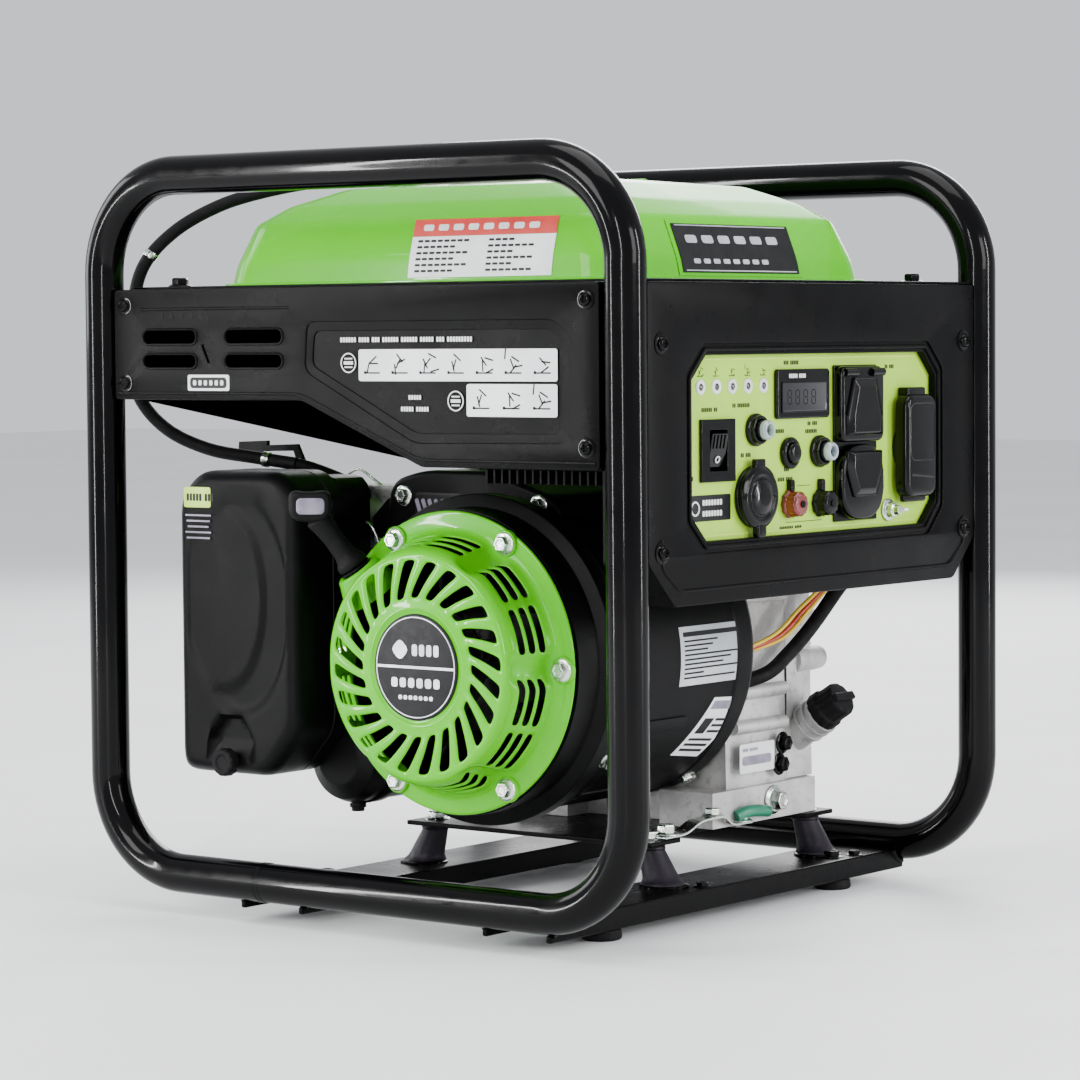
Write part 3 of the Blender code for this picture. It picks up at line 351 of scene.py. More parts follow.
def loft(bm, rings, closed=False, caps=True):
    """Joins rings of points in turn. A ring of one point ends in a tip."""
    loops = [[bm.verts.new(point) for point in ring] for ring in rings]
    pairs = list(zip(loops, loops[1:]))
    if closed:
        pairs.append((loops[-1], loops[0]))
    for one, two in pairs:
        count = max(len(one), len(two))
        for i in range(count):
            j = (i + 1) % count
            corners = [one[i % len(one)], one[j % len(one)], two[j % len(two)], two[i % len(two)]]
            bm.faces.new(list(dict.fromkeys(corners)))
    if caps and not closed:
        for end in (loops[0], loops[-1]):
            if len(end) > 2:
                bm.faces.new(end)


def lathe(bm, at, profile, steps=48, closed=False, wave=None):
    """Turns a profile of (radius, height) about local Z. wave(angle) scales the radius."""
    rings = []
    for radius, height in profile:
        angles = [0] if radius == 0 else [2 * pi * i / steps for i in range(steps)]
        scale = [1 if wave is None else wave(a) for a in angles]
        rings.append([at @ Vector((radius * k * cos(a), radius * k * sin(a), height)) for a,
            k in zip(angles, scale)])
    loft(bm, rings, closed)


def band(bm, at, radii, heights, reach, sides):
    """A ring of rectangular section with rounded edges. radii and heights are each (least, greatest)."""
    (inner, outer), (low, high) = radii, heights
    section = soften([(inner, low), (outer, low), (outer, high), (inner, high)], reach, 2)
    lathe(bm, at, section, sides, closed=True)


def prism(bm, at, outline, low, high):
    loft(bm, [[at @ Vector((p[0], p[1], w)) for p in outline] for w in (low, high)])


def block(bm, at, u, v, w):
    prism(bm, at, [(u[0], v[0]), (u[1], v[0]), (u[1], v[1]), (u[0], v[1])], *w)


def pillow(bm, at, u, v, corner, low, high, edge, steps=4):
    """A block with rounded corners and a rounded upper edge."""
    levels = [(0, low), (0, high - edge)]
    levels += [(edge * (1 - cos(pi / 2 * k / steps)), high - edge + edge * sin(pi / 2 * k / steps))
        for k in range(1, steps + 1)]
    rings = []
    for inset, w in levels:
        outline = round_rect((u[0] + inset, u[1] - inset), (v[0] + inset, v[1] - inset),
            max(corner - inset, 0.0004))
        rings.append([at @ Vector((a, b, w)) for a, b in outline])
    loft(bm, rings)


def sweep(bm, route, radius, sides=16, closed=False):
    """A round bar along a line of points. radius is a number or a function of the way along, 0 to 1."""
    route = [Vector(p) for p in route]
    count = len(route)
    ways = []
    for i in range(count):
        after = route[(i + 1) % count] if closed or i < count - 1 else route[i]
        before = route[i - 1] if closed or i > 0 else route[i]
        ways.append((after - before).normalized())
    side = ways[0].orthogonal().normalized()
    rings = []
    for i, (point, way) in enumerate(zip(route, ways)):
        side = (side - way * side.dot(way)).normalized()
        other = way.cross(side)
        r = radius(i / (count - 1)) if callable(radius) else radius
        rings.append([point + side * (r * cos(2 * pi * k / sides)) + other * (r * sin(2 * pi * k / sides))
            for k in range(sides)])
    loft(bm, rings, closed)


def rods(bm, lines, radius, sides=16):
    for start, end in lines:
        sweep(bm, [start, end], radius, sides)


def bolt(bm, at, size, height=None, flange=True):
    """Hexagon bolt head standing on local Z. size is the hexagon's corner radius."""
    height = height or size * 0.95
    if flange:
        lathe(bm, at, [(0, 0), (size * 1.38, 0), (size * 1.38, height * 0.1), (size * 1.08, height * 0.28),
            (0, height * 0.28)], 28)
    rings = []
    for scale, w, sides in ((1, height * 0.2, 6), (1, height * 0.84, 6), (0.86, height, 6),
            (0.6, height, 6), (0.52, height * 0.9, 6)):
        rings.append([at @ Vector((size * scale * cos(2 * pi * k / sides),
            size * scale * sin(2 * pi * k / sides), w)) for k in range(sides)])
    loft(bm, rings)


def pan_screw(bm, at, radius):
    """Round-headed screw with a cross recess made of four raised quarters round a sunken cross."""
    lathe(bm, at, [(0, 0), (radius * 1.5, 0), (radius * 1.5, radius * 0.14), (radius * 1.1, radius * 0.16),
        (radius, radius * 0.2), (radius * 0.96, radius * 0.48), (radius * 0.74, radius * 0.72),
        (radius * 0.56, radius * 0.78), (radius * 0.5, radius * 0.5), (0, radius * 0.48)], 28)
    for k in range(4):
        turn = at @ Matrix.Rotation(pi / 2 * k, 4, "Z")
        reach, slot = radius * 0.44, radius * 0.1
        prism(bm, turn, [(slot, slot), (reach, slot), (reach * 0.72, reach * 0.72), (slot, reach)],
            radius * 0.4, radius * 0.8)


def merge(node):
    """A CAD node's own mesh with its split corners joined and its flat faces whole."""
    bm = bmesh.new()
    bm.from_mesh(frame["nodes"][node].data)
    bmesh.ops.remove_doubles(bm, verts=bm.verts, dist=1e-5)
    bmesh.ops.dissolve_limit(bm, angle_limit=radians(1), verts=bm.verts, edges=bm.edges)
    return bm


def piece(name, bm, finish, body="frame", slot=None, bevel=0.0, segments=2, thickness=0.0, levels=0,
        angle=35, replaces=()):
    """Makes a bmesh into a finished piece that rides on a body."""
    bmesh.ops.recalc_face_normals(bm, faces=bm.faces)
    mesh = bpy.data.meshes.new(name)
    bm.to_mesh(mesh)
    bm.free()
    mesh.shade_smooth()
    obj = bpy.data.objects.new(name, mesh)
    bpy.context.scene.collection.objects.link(obj)
    if thickness:
        solid = obj.modifiers.new("sheet", "SOLIDIFY")
        solid.thickness = thickness
        solid.offset = -1
    if bevel:
        rounding = obj.modifiers.new("edges", "BEVEL")
        rounding.width = bevel
        rounding.segments = segments
        rounding.limit_method = "ANGLE"
        rounding.angle_limit = radians(angle)
    if levels:
        smooth = obj.modifiers.new("smooth", "SUBSURF")
        smooth.levels = levels
        smooth.render_levels = levels
    if bevel:
        obj.modifiers.new("normals", "WEIGHTED_NORMAL").keep_sharp = True
    if obj.modifiers:
        graph = bpy.context.evaluated_depsgraph_get()
        made = bpy.data.meshes.new_from_object(obj.evaluated_get(graph))
        obj.modifiers.clear()
        obj.data = made
    if not bevel:
        obj.data.set_sharp_from_angle(angle=radians(angle))
    obj.data.name = name
    obj.data.materials.append(LOOKS[finish])
    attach(obj, body)
    if replaces:
        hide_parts(*replaces)
    return obj


def turned(name, at, profile, rounding, sides, finish, *settings, ring=False, wave=None, **more):
    """A piece turned about local Z. rounding is soften's reach and steps, and ring closes the profile."""
    bm = bmesh.new()
    lathe(bm, at, soften(profile, *rounding, closed=ring), sides, ring, wave)
    return piece(name, bm, finish, *settings, **more)


def refined(node, finish, bevel, segments=3, angle=35):
    """The CAD node's shape with rounded edges, standing for it."""
    return piece(f"{node}_finished", merge(node), finish, BODY_OF_NODE[node], SLOT_OF_NODE[node], bevel,
        segments, angle=angle, replaces=(node,))


def plate(name, at, loops, low, high, edge, finish, body="frame", **settings):
    """A flat sheet with holes and rounded edges: the first loop is its outline and the rest are holes."""
    data = bpy.data.curves.new(name, "CURVE")
    data.dimensions = "2D"
    data.fill_mode = "BOTH"
    data.extrude = (high - low) / 2 - edge
    data.bevel_depth = edge
    data.bevel_resolution = 2
    data.offset = -edge
    for loop in loops:
        spline = data.splines.new("POLY")
        spline.points.add(len(loop) - 1)
        for point, place in zip(spline.points, loop):
            point.co = (place[0], place[1], 0, 1)
        spline.use_cyclic_u = True
    obj = bpy.data.objects.new(name, data)
    bpy.context.scene.collection.objects.link(obj)
    graph = bpy.context.evaluated_depsgraph_get()
    mesh = bpy.data.meshes.new_from_object(obj.evaluated_get(graph))
    bpy.data.objects.remove(obj)
    bpy.data.curves.remove(data)
    bm = bmesh.new()
    bm.from_mesh(mesh)
    bpy.data.meshes.remove(mesh)
    bmesh.ops.remove_doubles(bm, verts=bm.verts, dist=1e-6)
    bmesh.ops.transform(bm, matrix=at @ Matrix.Translation((0, 0, (low + high) / 2)), verts=bm.verts)
    return piece(name, bm, finish, body, **settings)


def marks(name, at, bars, finish, body="frame", lift=0.0, height=0.00012):
    """Small flat printed bars: each is (u, v, width, height, angle in degrees)."""
    bm = bmesh.new()
    for u, v, width, tall, turn in bars:
        here = at @ Matrix.Translation((u, v, 0)) @ Matrix.Rotation(radians(turn), 4, "Z")
        corner = min(width, tall) * 0.3
        prism(bm, here, round_rect((-width / 2, width / 2), (-tall / 2, tall / 2), corner, 2), lift,
            lift + height)
    return piece(name, bm, finish, body)


def text_bars(u, v, words, tall, width=None):
    """A row of blank marks in word-sized groups, standing in for a printed line."""
    width = width or tall * 0.55
    bars = []
    for length in words:
        bars += [(u + width * (0.5 + 1.35 * k), v, width, tall, 0) for k in range(length)]
        u += width * 1.35 * length
        u += width * 1.1
    return bars


def ring_marks(bm, at, centre, radius, wide, low, high, steps=28):
    here = at @ Matrix.Translation((*centre, 0))
    lathe(bm, here, [(radius, low), (radius, high), (radius + wide, high), (radius + wide, low)], steps,
        closed=True)


# --- Tube frame --------------------------------------------------------------------------------

def make_hoops():
    bend, low, top = 0.062, HOOP_LOW.z + TUBE_R, HOOP_HIGH.z - TUBE_R
    reach = HOOP_HIGH.x - TUBE_R
    outline = round_rect((-reach, reach), (low, top), bend, 16)
    for node, side in (("recoil_side_loop", -1), ("muffler_side_loop", 1)):
        y = side * HOOP_Y
        bm = bmesh.new()
        sweep(bm, [(x, y, z) for x, z in outline], TUBE_R - 0.0003, 40, closed=True)
        piece(f"{node}_tube", bm, "gloss_black", replaces=(node,))
        bm = bmesh.new()
        joint = pointing((-0.074, y, low), X)
        lathe(bm, joint, [(TUBE_R - 0.001, -0.0034), (TUBE_R, -0.0026), (TUBE_R, -0.0008),
            (TUBE_R - 0.0006, 0), (TUBE_R, 0.0008), (TUBE_R, 0.0026), (TUBE_R - 0.001, 0.0034)], 48)
        piece(f"{node}_tube_joint", bm, "gloss_black")
    bm = bmesh.new()
    for x in (PANEL_MOUNT_X, FILTER_MOUNT_X):
        for side in (-1, 1):
            for across in (-0.026, 0.026):
                start = TUBE_R + 0.0006
                arc = [(x + across, side * (HOOP_Y - start * sin(a)), low - start * cos(a))
                    for a in (radians(8 + 12 * k) for k in range(8))]
                sweep(bm, [p for p in arc if p[2] < 0.0215], 0.0017, 8)
    piece("rail_weld_beads", bm, "gloss_black")


def make_rails():
    for node in ("base_rail_panel_end", "base_rail_filter_end"):
        refined(node, "satin_black", 0.0016)
        low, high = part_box(node)
        middle = (low.x + high.x) / 2
        bm = bmesh.new()
        way = 1 if middle > 0 else -1
        for y in (-0.127, 0.127):
            bolt(bm, pointing((middle + way * 0.013, y, high.z), Z), 0.0058, 0.0042)
        for y in (-0.03, 0.144):
            bolt(bm, pointing((middle + way * 0.0195, y, high.z), Z), 0.0042, 0.003)
        piece(f"{node}_bolts", bm, "gloss_black", bevel=0.0003)


def make_feet():
    for node in nodes_named("foot_"):
        low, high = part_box(node)
        middle = (low + high) / 2
        profile = soften([(0, 0), (0.0114, 0), (0.0125, 0.0014), (0.0122, 0.005), (0.0118, 0.0067),
            (0.006, 0.0067), (0.006, high.z)], 0.0006, 3, closed=False)
        bm = bmesh.new()
        lathe(bm, Matrix.Translation((middle.x, middle.y, 0)), profile + [Vector((0, high.z))], 40)
        piece(f"{node}_pad", bm, "rubber", replaces=(node,))


def make_mounts():
    for node in nodes_named("rubber_mount_"):
        low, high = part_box(node)
        panel_end = (low.x + high.x) > 0
        lean = -0.011 if panel_end else 0.011
        base = Vector((PANEL_MOUNT_X if panel_end else FILTER_MOUNT_X, (low.y + high.y) / 2, low.z))
        height = high.z - low.z
        profile = [(0.0135, 0), (0.0137, 0.004), (0.0137, 0.1), (0.0131, 0.13), (0.012, 0.19),
            (0.0112, 0.3), (0.0097, 0.62), (0.0087, 0.82), (0.0086, 0.88), (0.0094, 0.92), (0.0095, 0.97),
            (0.0092, 1)]
        rings = []
        for radius, share in profile:
            centre = base + Vector((lean * share, 0, height * share))
            rings.append([centre + Vector((radius * c, radius * s, 0)) for c, s in circle(1, 40)])
        bm = bmesh.new()
        loft(bm, rings)
        # The cones' violet tint is a painted sheen.
        piece(f"{node}_cone", bm, "mount_rubber_painted_sheen", slot="rubber", replaces=(node,))
        bm = bmesh.new()
        lathe(bm, pointing(base + Vector((0, 0, -0.0001)), Z), [(0, 0), (0.0158, 0), (0.0158, 0.001),
            (0.0148, 0.0016), (0, 0.0016)], 40)
        piece(f"{node}_washer", bm, "gloss_black")


def make_cradle():
    refined("engine_cradle", "satin_black", 0.0007)
    bm = bmesh.new()
    for x in (0.113, -0.059):
        for y in (-0.044, 0.13):
            bolt(bm, pointing((x, y, DECK_TOP), Z), 0.0062, 0.0055)
    piece("mount_nuts", bm, "zinc", bevel=0.0003)
    bm = bmesh.new()
    bends = [(0.1215, -0.046, 0.0007), (0.1225, -0.024, 0.001), (0.1225, -0.008, 0.0075),
        (0.1225, 0.018, 0.008), (0.1225, 0.026, 0.0012), (0.1215, 0.05, 0.0008)]
    strip = soften([(x, y, DECK_TOP + rise) for x, y, rise in bends], 0.006, 4, closed=False)
    section = [Vector(p) for p in ((-0.0055, 0, 0), (0.0055, 0, 0), (0.0055, 0, 0.0016),
        (-0.0055, 0, 0.0016))]
    loft(bm, [[p + corner for corner in section] for p in strip])
    piece("earth_bracket", bm, "zinc", bevel=0.0004)
    bm = bmesh.new()
    for x, y, rise, size, tall in ((0.1215, -0.038, 0.0026, 0.006, 0.0068),
            (0.122, 0.012, 0.0096, 0.0052, 0.005), (0.1215, 0.043, 0.0026, 0.006, 0.0062)):
        bolt(bm, pointing((x, y, DECK_TOP + rise), Z), size, tall)
    piece("bracket_bolts", bm, "zinc", bevel=0.0003)
    bm = bmesh.new()
    sweep(bm, along([(0.1235, 0.036, 0.056), (0.1262, 0.044, 0.0585), (0.1268, 0.058, 0.058),
        (0.1245, 0.07, 0.056)]), 0.0038, 14)
    piece("earth_lead_sleeve", bm, "wire_green")


# --- Panels ------------------------------------------------------------------------------------

def pictogram(u, v, size, kind):
    """A small made-up diagram of bars, to fill a cell of an instruction strip."""
    bars = [(u, v - size * 0.42, size * 0.9, size * 0.07, 0)]
    for k in range(3 + kind % 3):
        turn = 37 * k + 23 * kind
        away = size * (0.1 + 0.09 * k)
        bars.append((u + away * cos(radians(turn * 2)), v + away * sin(radians(turn * 3)), size * 0.5,
            size * 0.075, turn))
    bars.append((u - size * 0.42, v - size * 0.4, size * 0.14, size * 0.14, 0))
    return bars


def make_side_panel(node, side):
    outer = [(-0.193, 0.3264), (-0.035, 0.3264), (0.06, 0.287), (0.193, 0.287), (0.193, 0.3962),
        (-0.193, 0.3962)]
    way = -side
    at = axes_at((0, side * PANEL_Y, 0), X * way, Z)

    def flip(points):
        return [(way * p[0], p[1]) for p in points]

    refined(node, "satin_black", 0.0009)
    slots = [round_rect(u, v, 0.0042, 5) for u in ((-0.168, -0.122), (-0.098, -0.05))
        for v in ((0.3612, 0.3708), (0.3462, 0.3553))]
    choke = [(-0.1178, 0.3605), (-0.1158, 0.3612), (-0.1106, 0.3502), (-0.1126, 0.3495)]
    pocket = soften([(-0.03, 0.3745), (-0.032, 0.3445), (0.0545, 0.3015), (0.1695, 0.3025),
        (0.1725, 0.3645), (0.16, 0.3745)], 0.006, 5)
    step = soften([(-0.0245, 0.369), (-0.0265, 0.348), (0.056, 0.3072), (0.1645, 0.308), (0.167, 0.362),
        (0.157, 0.369)], 0.005, 5)
    outline = soften(outer, 0.003, 3)
    plate(f"{node}_face", at, [flip(outline), *map(flip, slots), flip(choke), flip(pocket)], -0.0004,
        0.0014, 0.0006, "satin_black", slot="satin_black")
    plate(f"{node}_pocket_step", at, [flip(outline), *map(flip, slots), flip(choke), flip(step)], -0.0006,
        0.0007, 0.0004, "satin_black", slot="satin_black")
    bm = bmesh.new()
    for slot in slots:
        sweep(bm, [at @ Vector((way * u, v, 0.0013)) for u, v in slot], 0.0009, 8, closed=True)
    piece(f"{node}_slot_lips", bm, "satin_black")
    bm = bmesh.new()
    rib = soften([(-0.17, 0.3835), (-0.045, 0.3835)], 0.001, 1, closed=False)
    sweep(bm, [at @ Vector((way * p[0], p[1], 0.001)) for p in rib], 0.0011, 10)
    fold = soften([(-0.19, 0.3305), (-0.036, 0.3305), (0.059, 0.2912), (0.19, 0.2912)], 0.008, 4,
        closed=False)
    sweep(bm, [at @ Vector((way * p[0], p[1], 0.0008)) for p in fold], 0.0012, 10)
    piece(f"{node}_pressed_ribs", bm, "satin_black")
    bm = bmesh.new()
    for u, v in ((-0.184, 0.386), (0.184, 0.386), (-0.184, 0.337), (0.184, 0.3)):
        pan_screw(bm, at @ Matrix.Translation((way * u, v, 0.0013)), 0.004)
    piece(f"{node}_screws", bm, "gloss_black")
    return at


def make_panel_labels(at, name):
    """Plain instruction strips with blank marks, inside the pressed pocket."""
    strips = (((0.011, 0.1625), (0.3385, 0.3577), 7), ((0.0946, 0.1623), (0.3176, 0.3369), 3))
    for i, (u, v, cells) in enumerate(strips):
        plate(f"{name}_strip_{i}", at, [round_rect(u, v, 0.0016, 4)], 0.0006, 0.001, 0.00012, "label_white")
        bars = []
        pitch = (u[1] - u[0]) / cells
        for k in range(cells):
            bars += pictogram(u[0] + pitch * (k + 0.5), sum(v) / 2 + 0.001, 0.0135, k + 3 * i)
        marks(f"{name}_strip_{i}_marks", at, bars, "ink", lift=0.001)
    words = text_bars(-0.0035, 0.3635, (6, 4, 3, 6, 6, 5, 3, 9), 0.003, 0.0016)
    words += text_bars(0.05, 0.3288, (5,), 0.0028, 0.0015)
    words += text_bars(0.044, 0.3218, (5, 5), 0.0028, 0.0015)
    marks(f"{name}_printed_rows", at, words, "paint_white", lift=0.0008)
    bm = bmesh.new()
    for centre in ((0.0028, 0.3495), (0.0862, 0.3268)):
        ring_marks(bm, at, centre, 0.0054, 0.0007, 0.0007, 0.001)
        here = at @ Matrix.Translation((*centre, 0))
        block(bm, here, (-0.0036, 0.0036), (-0.001, 0.001), (0.0007, 0.001))
        for k in (-1, 1):
            block(bm, here, (-0.003, 0.003), (k * 0.0026 - 0.0004, k * 0.0026 + 0.0004), (0.0007, 0.001))
    piece(f"{name}_round_signs", bm, "paint_white")
    plate(f"{name}_choke_label", at, [round_rect((-0.1295, -0.0945), (0.3322, 0.3422), 0.0012, 4)], 0.0012,
        0.0017, 0.0001, "label_white")
    marks(f"{name}_choke_label_marks", at, [(-0.112, 0.3372, 0.031, 0.0068, 0)], "ink", lift=0.0017)
    marks(f"{name}_choke_label_dashes", at, [(-0.1235 + 0.0046 * k, 0.3372, 0.0026, 0.0032,
        0) for k in range(6)], "paint_white", lift=0.00182)
    marks(f"{name}_choke_letters", at, [(-0.152 + 0.0085 * k, 0.379, 0.0036, 0.0044, 45 * (k % 2))
        for k in range(5)], "satin_black", lift=0.0012, height=0.0004)


def make_side_panels():
    at = make_side_panel("recoil_side_panel", -1)
    make_panel_labels(at, "recoil_panel")
    make_side_panel("muffler_side_panel", 1)
    refined("tank_support", "satin_black", 0.0005)
    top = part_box("tank_support")[1].z
    bm = bmesh.new()
    for x, y in ((-0.166, -0.168), (0.178, 0.162), (-0.166, 0.168), (0.178, -0.162)):
        bolt(bm, pointing((x, y, top), Z), 0.0056, 0.0058)
    piece("tank_support_bolts", bm, "gloss_black", bevel=0.0003)


def make_control_panel():
    refined("control_panel", "satin_black", 0.0011)
    at = axes_at((PANEL_X, 0, 0), Y, Z)
    half, low, top, corner = 0.1812, 0.206, 0.3962, 0.026
    outline = [(-half + corner, low), (half - corner, low), (half, low + corner), (half, top), (-half, top),
        (-half, low + corner)]
    window = chamfered((-0.1425, 0.1425), (0.236, 0.36), 0.0175)
    plate("control_panel_face", at, [soften(outline, 0.003, 3), soften(window, 0.003, 4)], -0.0004, 0.0013,
        0.0006, "satin_black", slot="satin_black")
    bm = bmesh.new()
    frame_line = soften(chamfered((-0.1385, 0.1385), (0.2395, 0.3565), 0.0162), 0.002, 4)
    sweep(bm, [at @ Vector((p[0], p[1], 0.0002)) for p in frame_line], 0.0014, 10, closed=True)
    lip = soften([(-0.168, 0.246), (-0.168, 0.2285), (-0.15, 0.215), (0.15, 0.215), (0.168, 0.2285),
        (0.168, 0.246)], 0.005, 4, closed=False)
    sweep(bm, [at @ Vector((p[0], p[1], 0.001)) for p in lip], 0.0012, 10)
    piece("control_panel_ribs", bm, "satin_black")
    bm = bmesh.new()
    for y in (-0.168, 0.168):
        for z in (0.36, 0.2385):
            pan_screw(bm, at @ Matrix.Translation((y, z, 0.0012)), 0.0046)
    piece("control_panel_screws", bm, "gloss_black")


# --- Outlet faceplate --------------------------------------------------------------------------

def make_faceplate():
    frame["nodes"]["outlet_faceplate"].data.materials.clear()
    refined("outlet_faceplate", "faceplate", 0.0003, 2)
    at = axes_at((FACE_X, 0, 0), Y, Z)
    edge = chamfered((-0.1335, 0.1335), (0.245, 0.351), 0.0145)
    inner = chamfered((-0.1325, 0.1325), (0.246, 0.35), 0.0141)
    plate("faceplate_border", at, [edge, inner], 0.00002, 0.00016, 0.00004, "label_lime")
    bm, lens = bmesh.new(), bmesh.new()
    bars = []
    for k in range(5):
        y = -0.1193 + 0.0165 * k
        here = at @ Matrix.Translation((y, 0.334, 0))
        lathe(bm, here, [(0.0022, 0), (0.0022, 0.0007), (0.0042, 0.0009), (0.0046, 0.0005), (0.0046, 0)],
            28, closed=True)
        lathe(lens, here, [(0, 0.0001), (0.0022, 0.0001), (0.0022, 0.0007), (0.0015, 0.0013), (0, 0.0016)],
            24)
        bars += pictogram(y, 0.343, 0.0062, k + 2)
    piece("pilot_light_rings", bm, "paint_white")
    piece("pilot_light_lenses", lens, "dark_glass")
    words = [(-0.1182, 0.3205, (6, 2)), (-0.086, 0.3225, (2, 7)), (-0.031, 0.3476, (3, 5)),
        (-0.1322, 0.3095, (2,)), (-0.1322, 0.28, (3,)), (-0.0775, 0.2925, (2, 3)), (-0.005, 0.31, (2, 3)),
        (-0.0075, 0.3052, (7,)), (-0.04, 0.306, (5,)), (0.0835, 0.344, (2, 3)), (-0.038, 0.2765, (4, 4)),
        (-0.036, 0.2465, (8, 4)), (0.077, 0.268, (3,)), (-0.031, 0.2825, (3,))]
    for u, v, groups in words:
        bars += text_bars(u, v, groups, 0.0026, 0.0014)
    bars += [(-0.0094, 0.272, 0.014, 0.0004, 0), (-0.0094, 0.25, 0.04, 0.0004, 0),
        (-0.0094, 0.256, 0.005, 0.0026, 0)]
    marks("faceplate_print", at, bars, "ink", lift=0.0)
    plate("maker_plate", at, [round_rect((-0.1327, -0.0888), (0.2545, 0.27), 0.001, 3)], 0, 0.0004, 0.0001,
        "ink")
    plate_bars = text_bars(-0.118, 0.2655, (7,), 0.0034, 0.0022) + text_bars(-0.118, 0.259, (7,), 0.0034,
        0.0022)
    marks("maker_plate_dashes", at, plate_bars, "paint_white", lift=0.0004)
    bm = bmesh.new()
    ring_marks(bm, at, (-0.1255, 0.2622), 0.0034, 0.0011, 0.0004, 0.0006)
    piece("maker_plate_ring", bm, "paint_white")


def make_switch():
    refined("engine_switch_body", "outlet_black", 0.0005)
    refined("engine_switch_rocker", "outlet_black", 0.0005)
    rocker = node_middle("engine_switch_rocker")
    low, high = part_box("engine_switch_rocker")
    upper = axes_at((high.x - 0.0006, rocker.y, high.z - 0.005), Y, Vector((0.18, 0, 1)))
    bm = bmesh.new()
    for k in range(4):
        block(bm, upper, (-0.0062 + 0.0036 * k, -0.005 + 0.0036 * k), (-0.0042, 0.004), (-0.0006, 0.0004))
    piece("rocker_grip_ribs", bm, "outlet_black", "switch_rocker", bevel=0.0002)
    lower = axes_at((high.x - 0.0026, rocker.y, low.z + 0.0048), Y, Vector((0.27, 0, 1)))
    bm = bmesh.new()
    ring_marks(bm, lower, (0, 0), 0.0016, 0.0006, -0.0003, 0.0003)
    piece("rocker_off_mark", bm, "paint_white", "switch_rocker")


def make_meter():
    refined("display_meter", "outlet_black", 0.0004)
    low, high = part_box("display_meter")
    at = axes_at((high.x, 0, 0), Y, Z)
    y, z = (low.y + 0.0045, high.y - 0.0045), (low.z + 0.0045, high.z - 0.0085)
    plate("meter_window", at, [round_rect(y, z, 0.0008, 3)], 0.0, 0.0004, 0.0001, "dark_glass")
    rim = round_rect((y[0] - 0.0008, y[1] + 0.0008), (z[0] - 0.0008, z[1] + 0.0008), 0.0012, 3)
    plate("meter_window_rim", at, [rim, round_rect(y, z, 0.0008, 3)], 0.0, 0.0006, 0.0001, "outlet_black")
    marks("meter_heading", at, text_bars(low.y + 0.012, high.z - 0.0042, (5, 4), 0.0026, 0.0014),
        "paint_white")
    digits = []
    for k in range(4):
        u = y[0] + 0.0075 + 0.0088 * k
        v = sum(z) / 2
        digits += [(u, v + 0.0042, 0.0034, 0.0007, 0), (u, v, 0.0034, 0.0007, 0),
            (u, v - 0.0042, 0.0034, 0.0007, 0)]
        digits += [(u + s * 0.0021, v + t * 0.0021, 0.0007, 0.0034, 0) for s in (-1, 1) for t in (-1, 1)]
    marks("meter_segments", at, digits, "outlet_black", lift=0.0004, height=0.00005)


def panel_axis(node):
    """The axis of a part of the outlet panel: Z runs out along world X, from x = 0."""
    middle = node_middle(node)
    return pointing((0, middle.y, middle.z), X)


def make_buttons():
    for node, body in (("dc_breaker_button", "dc_breaker"), ("ac_breaker_button", "ac_breaker")):
        at = panel_axis(node)
        turned(f"{node}_collar", at, [(0.0069, 0.2068), (0.01, 0.2068), (0.01, 0.209), (0.0088, 0.2096),
            (0.0088, 0.2118), (0.0082, 0.2124), (0.0069, 0.2124)], (0.0004, 2), 40, "outlet_black",
            ring=True)
        turned(f"{node}_stem", at, [(0, 0.1962), (0.0062, 0.1962), (0.0062, 0.2138), (0.005, 0.2146),
            (0, 0.2146)], (0.0004, 2), 36, "outlet_black", body, replaces=(node,))
        turned(f"{node}_clear_cap", at, [(0.0034, 0.2142), (0.0058, 0.2142), (0.006, 0.2168),
            (0.005, 0.2186), (0.0036, 0.2186), (0.0034, 0.2172)], (0.0004, 3), 36, "clear_cap", body,
            ring=True, slot="outlet_black")
    at = panel_axis("reset_button")
    turned("reset_button_collar", at, [(0.0069, 0.2068), (0.0098, 0.2068), (0.0098, 0.2092),
        (0.0084, 0.2104), (0.0069, 0.2104)], (0.0004, 2), 40, "outlet_black", ring=True)
    turned("reset_button_dome", at, [(0, 0.1962), (0.0064, 0.1962), (0.0064, 0.2116), (0.0046, 0.2133),
        (0, 0.2136)], (0.001, 4), 36, "outlet_black", "reset", replaces=("reset_button",))


def make_dc_socket():
    at = panel_axis("dc_socket")
    turned("dc_socket_barrel", at, [(0, 0.1782), (0.0141, 0.1782), (0.0141, 0.2068), (0.0188, 0.2068),
        (0.0188, 0.209), (0.0178, 0.2098), (0.0108, 0.2098), (0.0106, 0.1812), (0, 0.1812)], (0.0004, 2),
        44, "outlet_black", replaces=("dc_socket",))
    turned("dc_socket_cap_disc", at, [(0, 0.2072), (0.0094, 0.2072), (0.0094, 0.2103), (0.0186, 0.2103),
        (0.0194, 0.2112), (0.0194, 0.213), (0.0165, 0.2148), (0.0135, 0.215), (0.0128, 0.2142),
        (0.0112, 0.2142), (0.0105, 0.2156), (0.006, 0.2168), (0, 0.217)], (0.0006, 3), 44, "outlet_black",
        "socket_cap", replaces=("dc_socket_cap",))
    flat = axes_at(at.translation, Y, Z)
    top, low = 0.0185, -0.0185
    bm = bmesh.new()
    pillow(bm, flat, (-0.0052, 0.0052), (top - 0.005, top + 0.0044), 0.0012, 0.2104, 0.2136, 0.0008)
    pillow(bm, flat, (-0.0046, 0.0046), (low - 0.0062, low + 0.0055), 0.0026, 0.2104, 0.2146, 0.0012)
    piece("dc_socket_cap_tabs", bm, "outlet_black", "socket_cap")


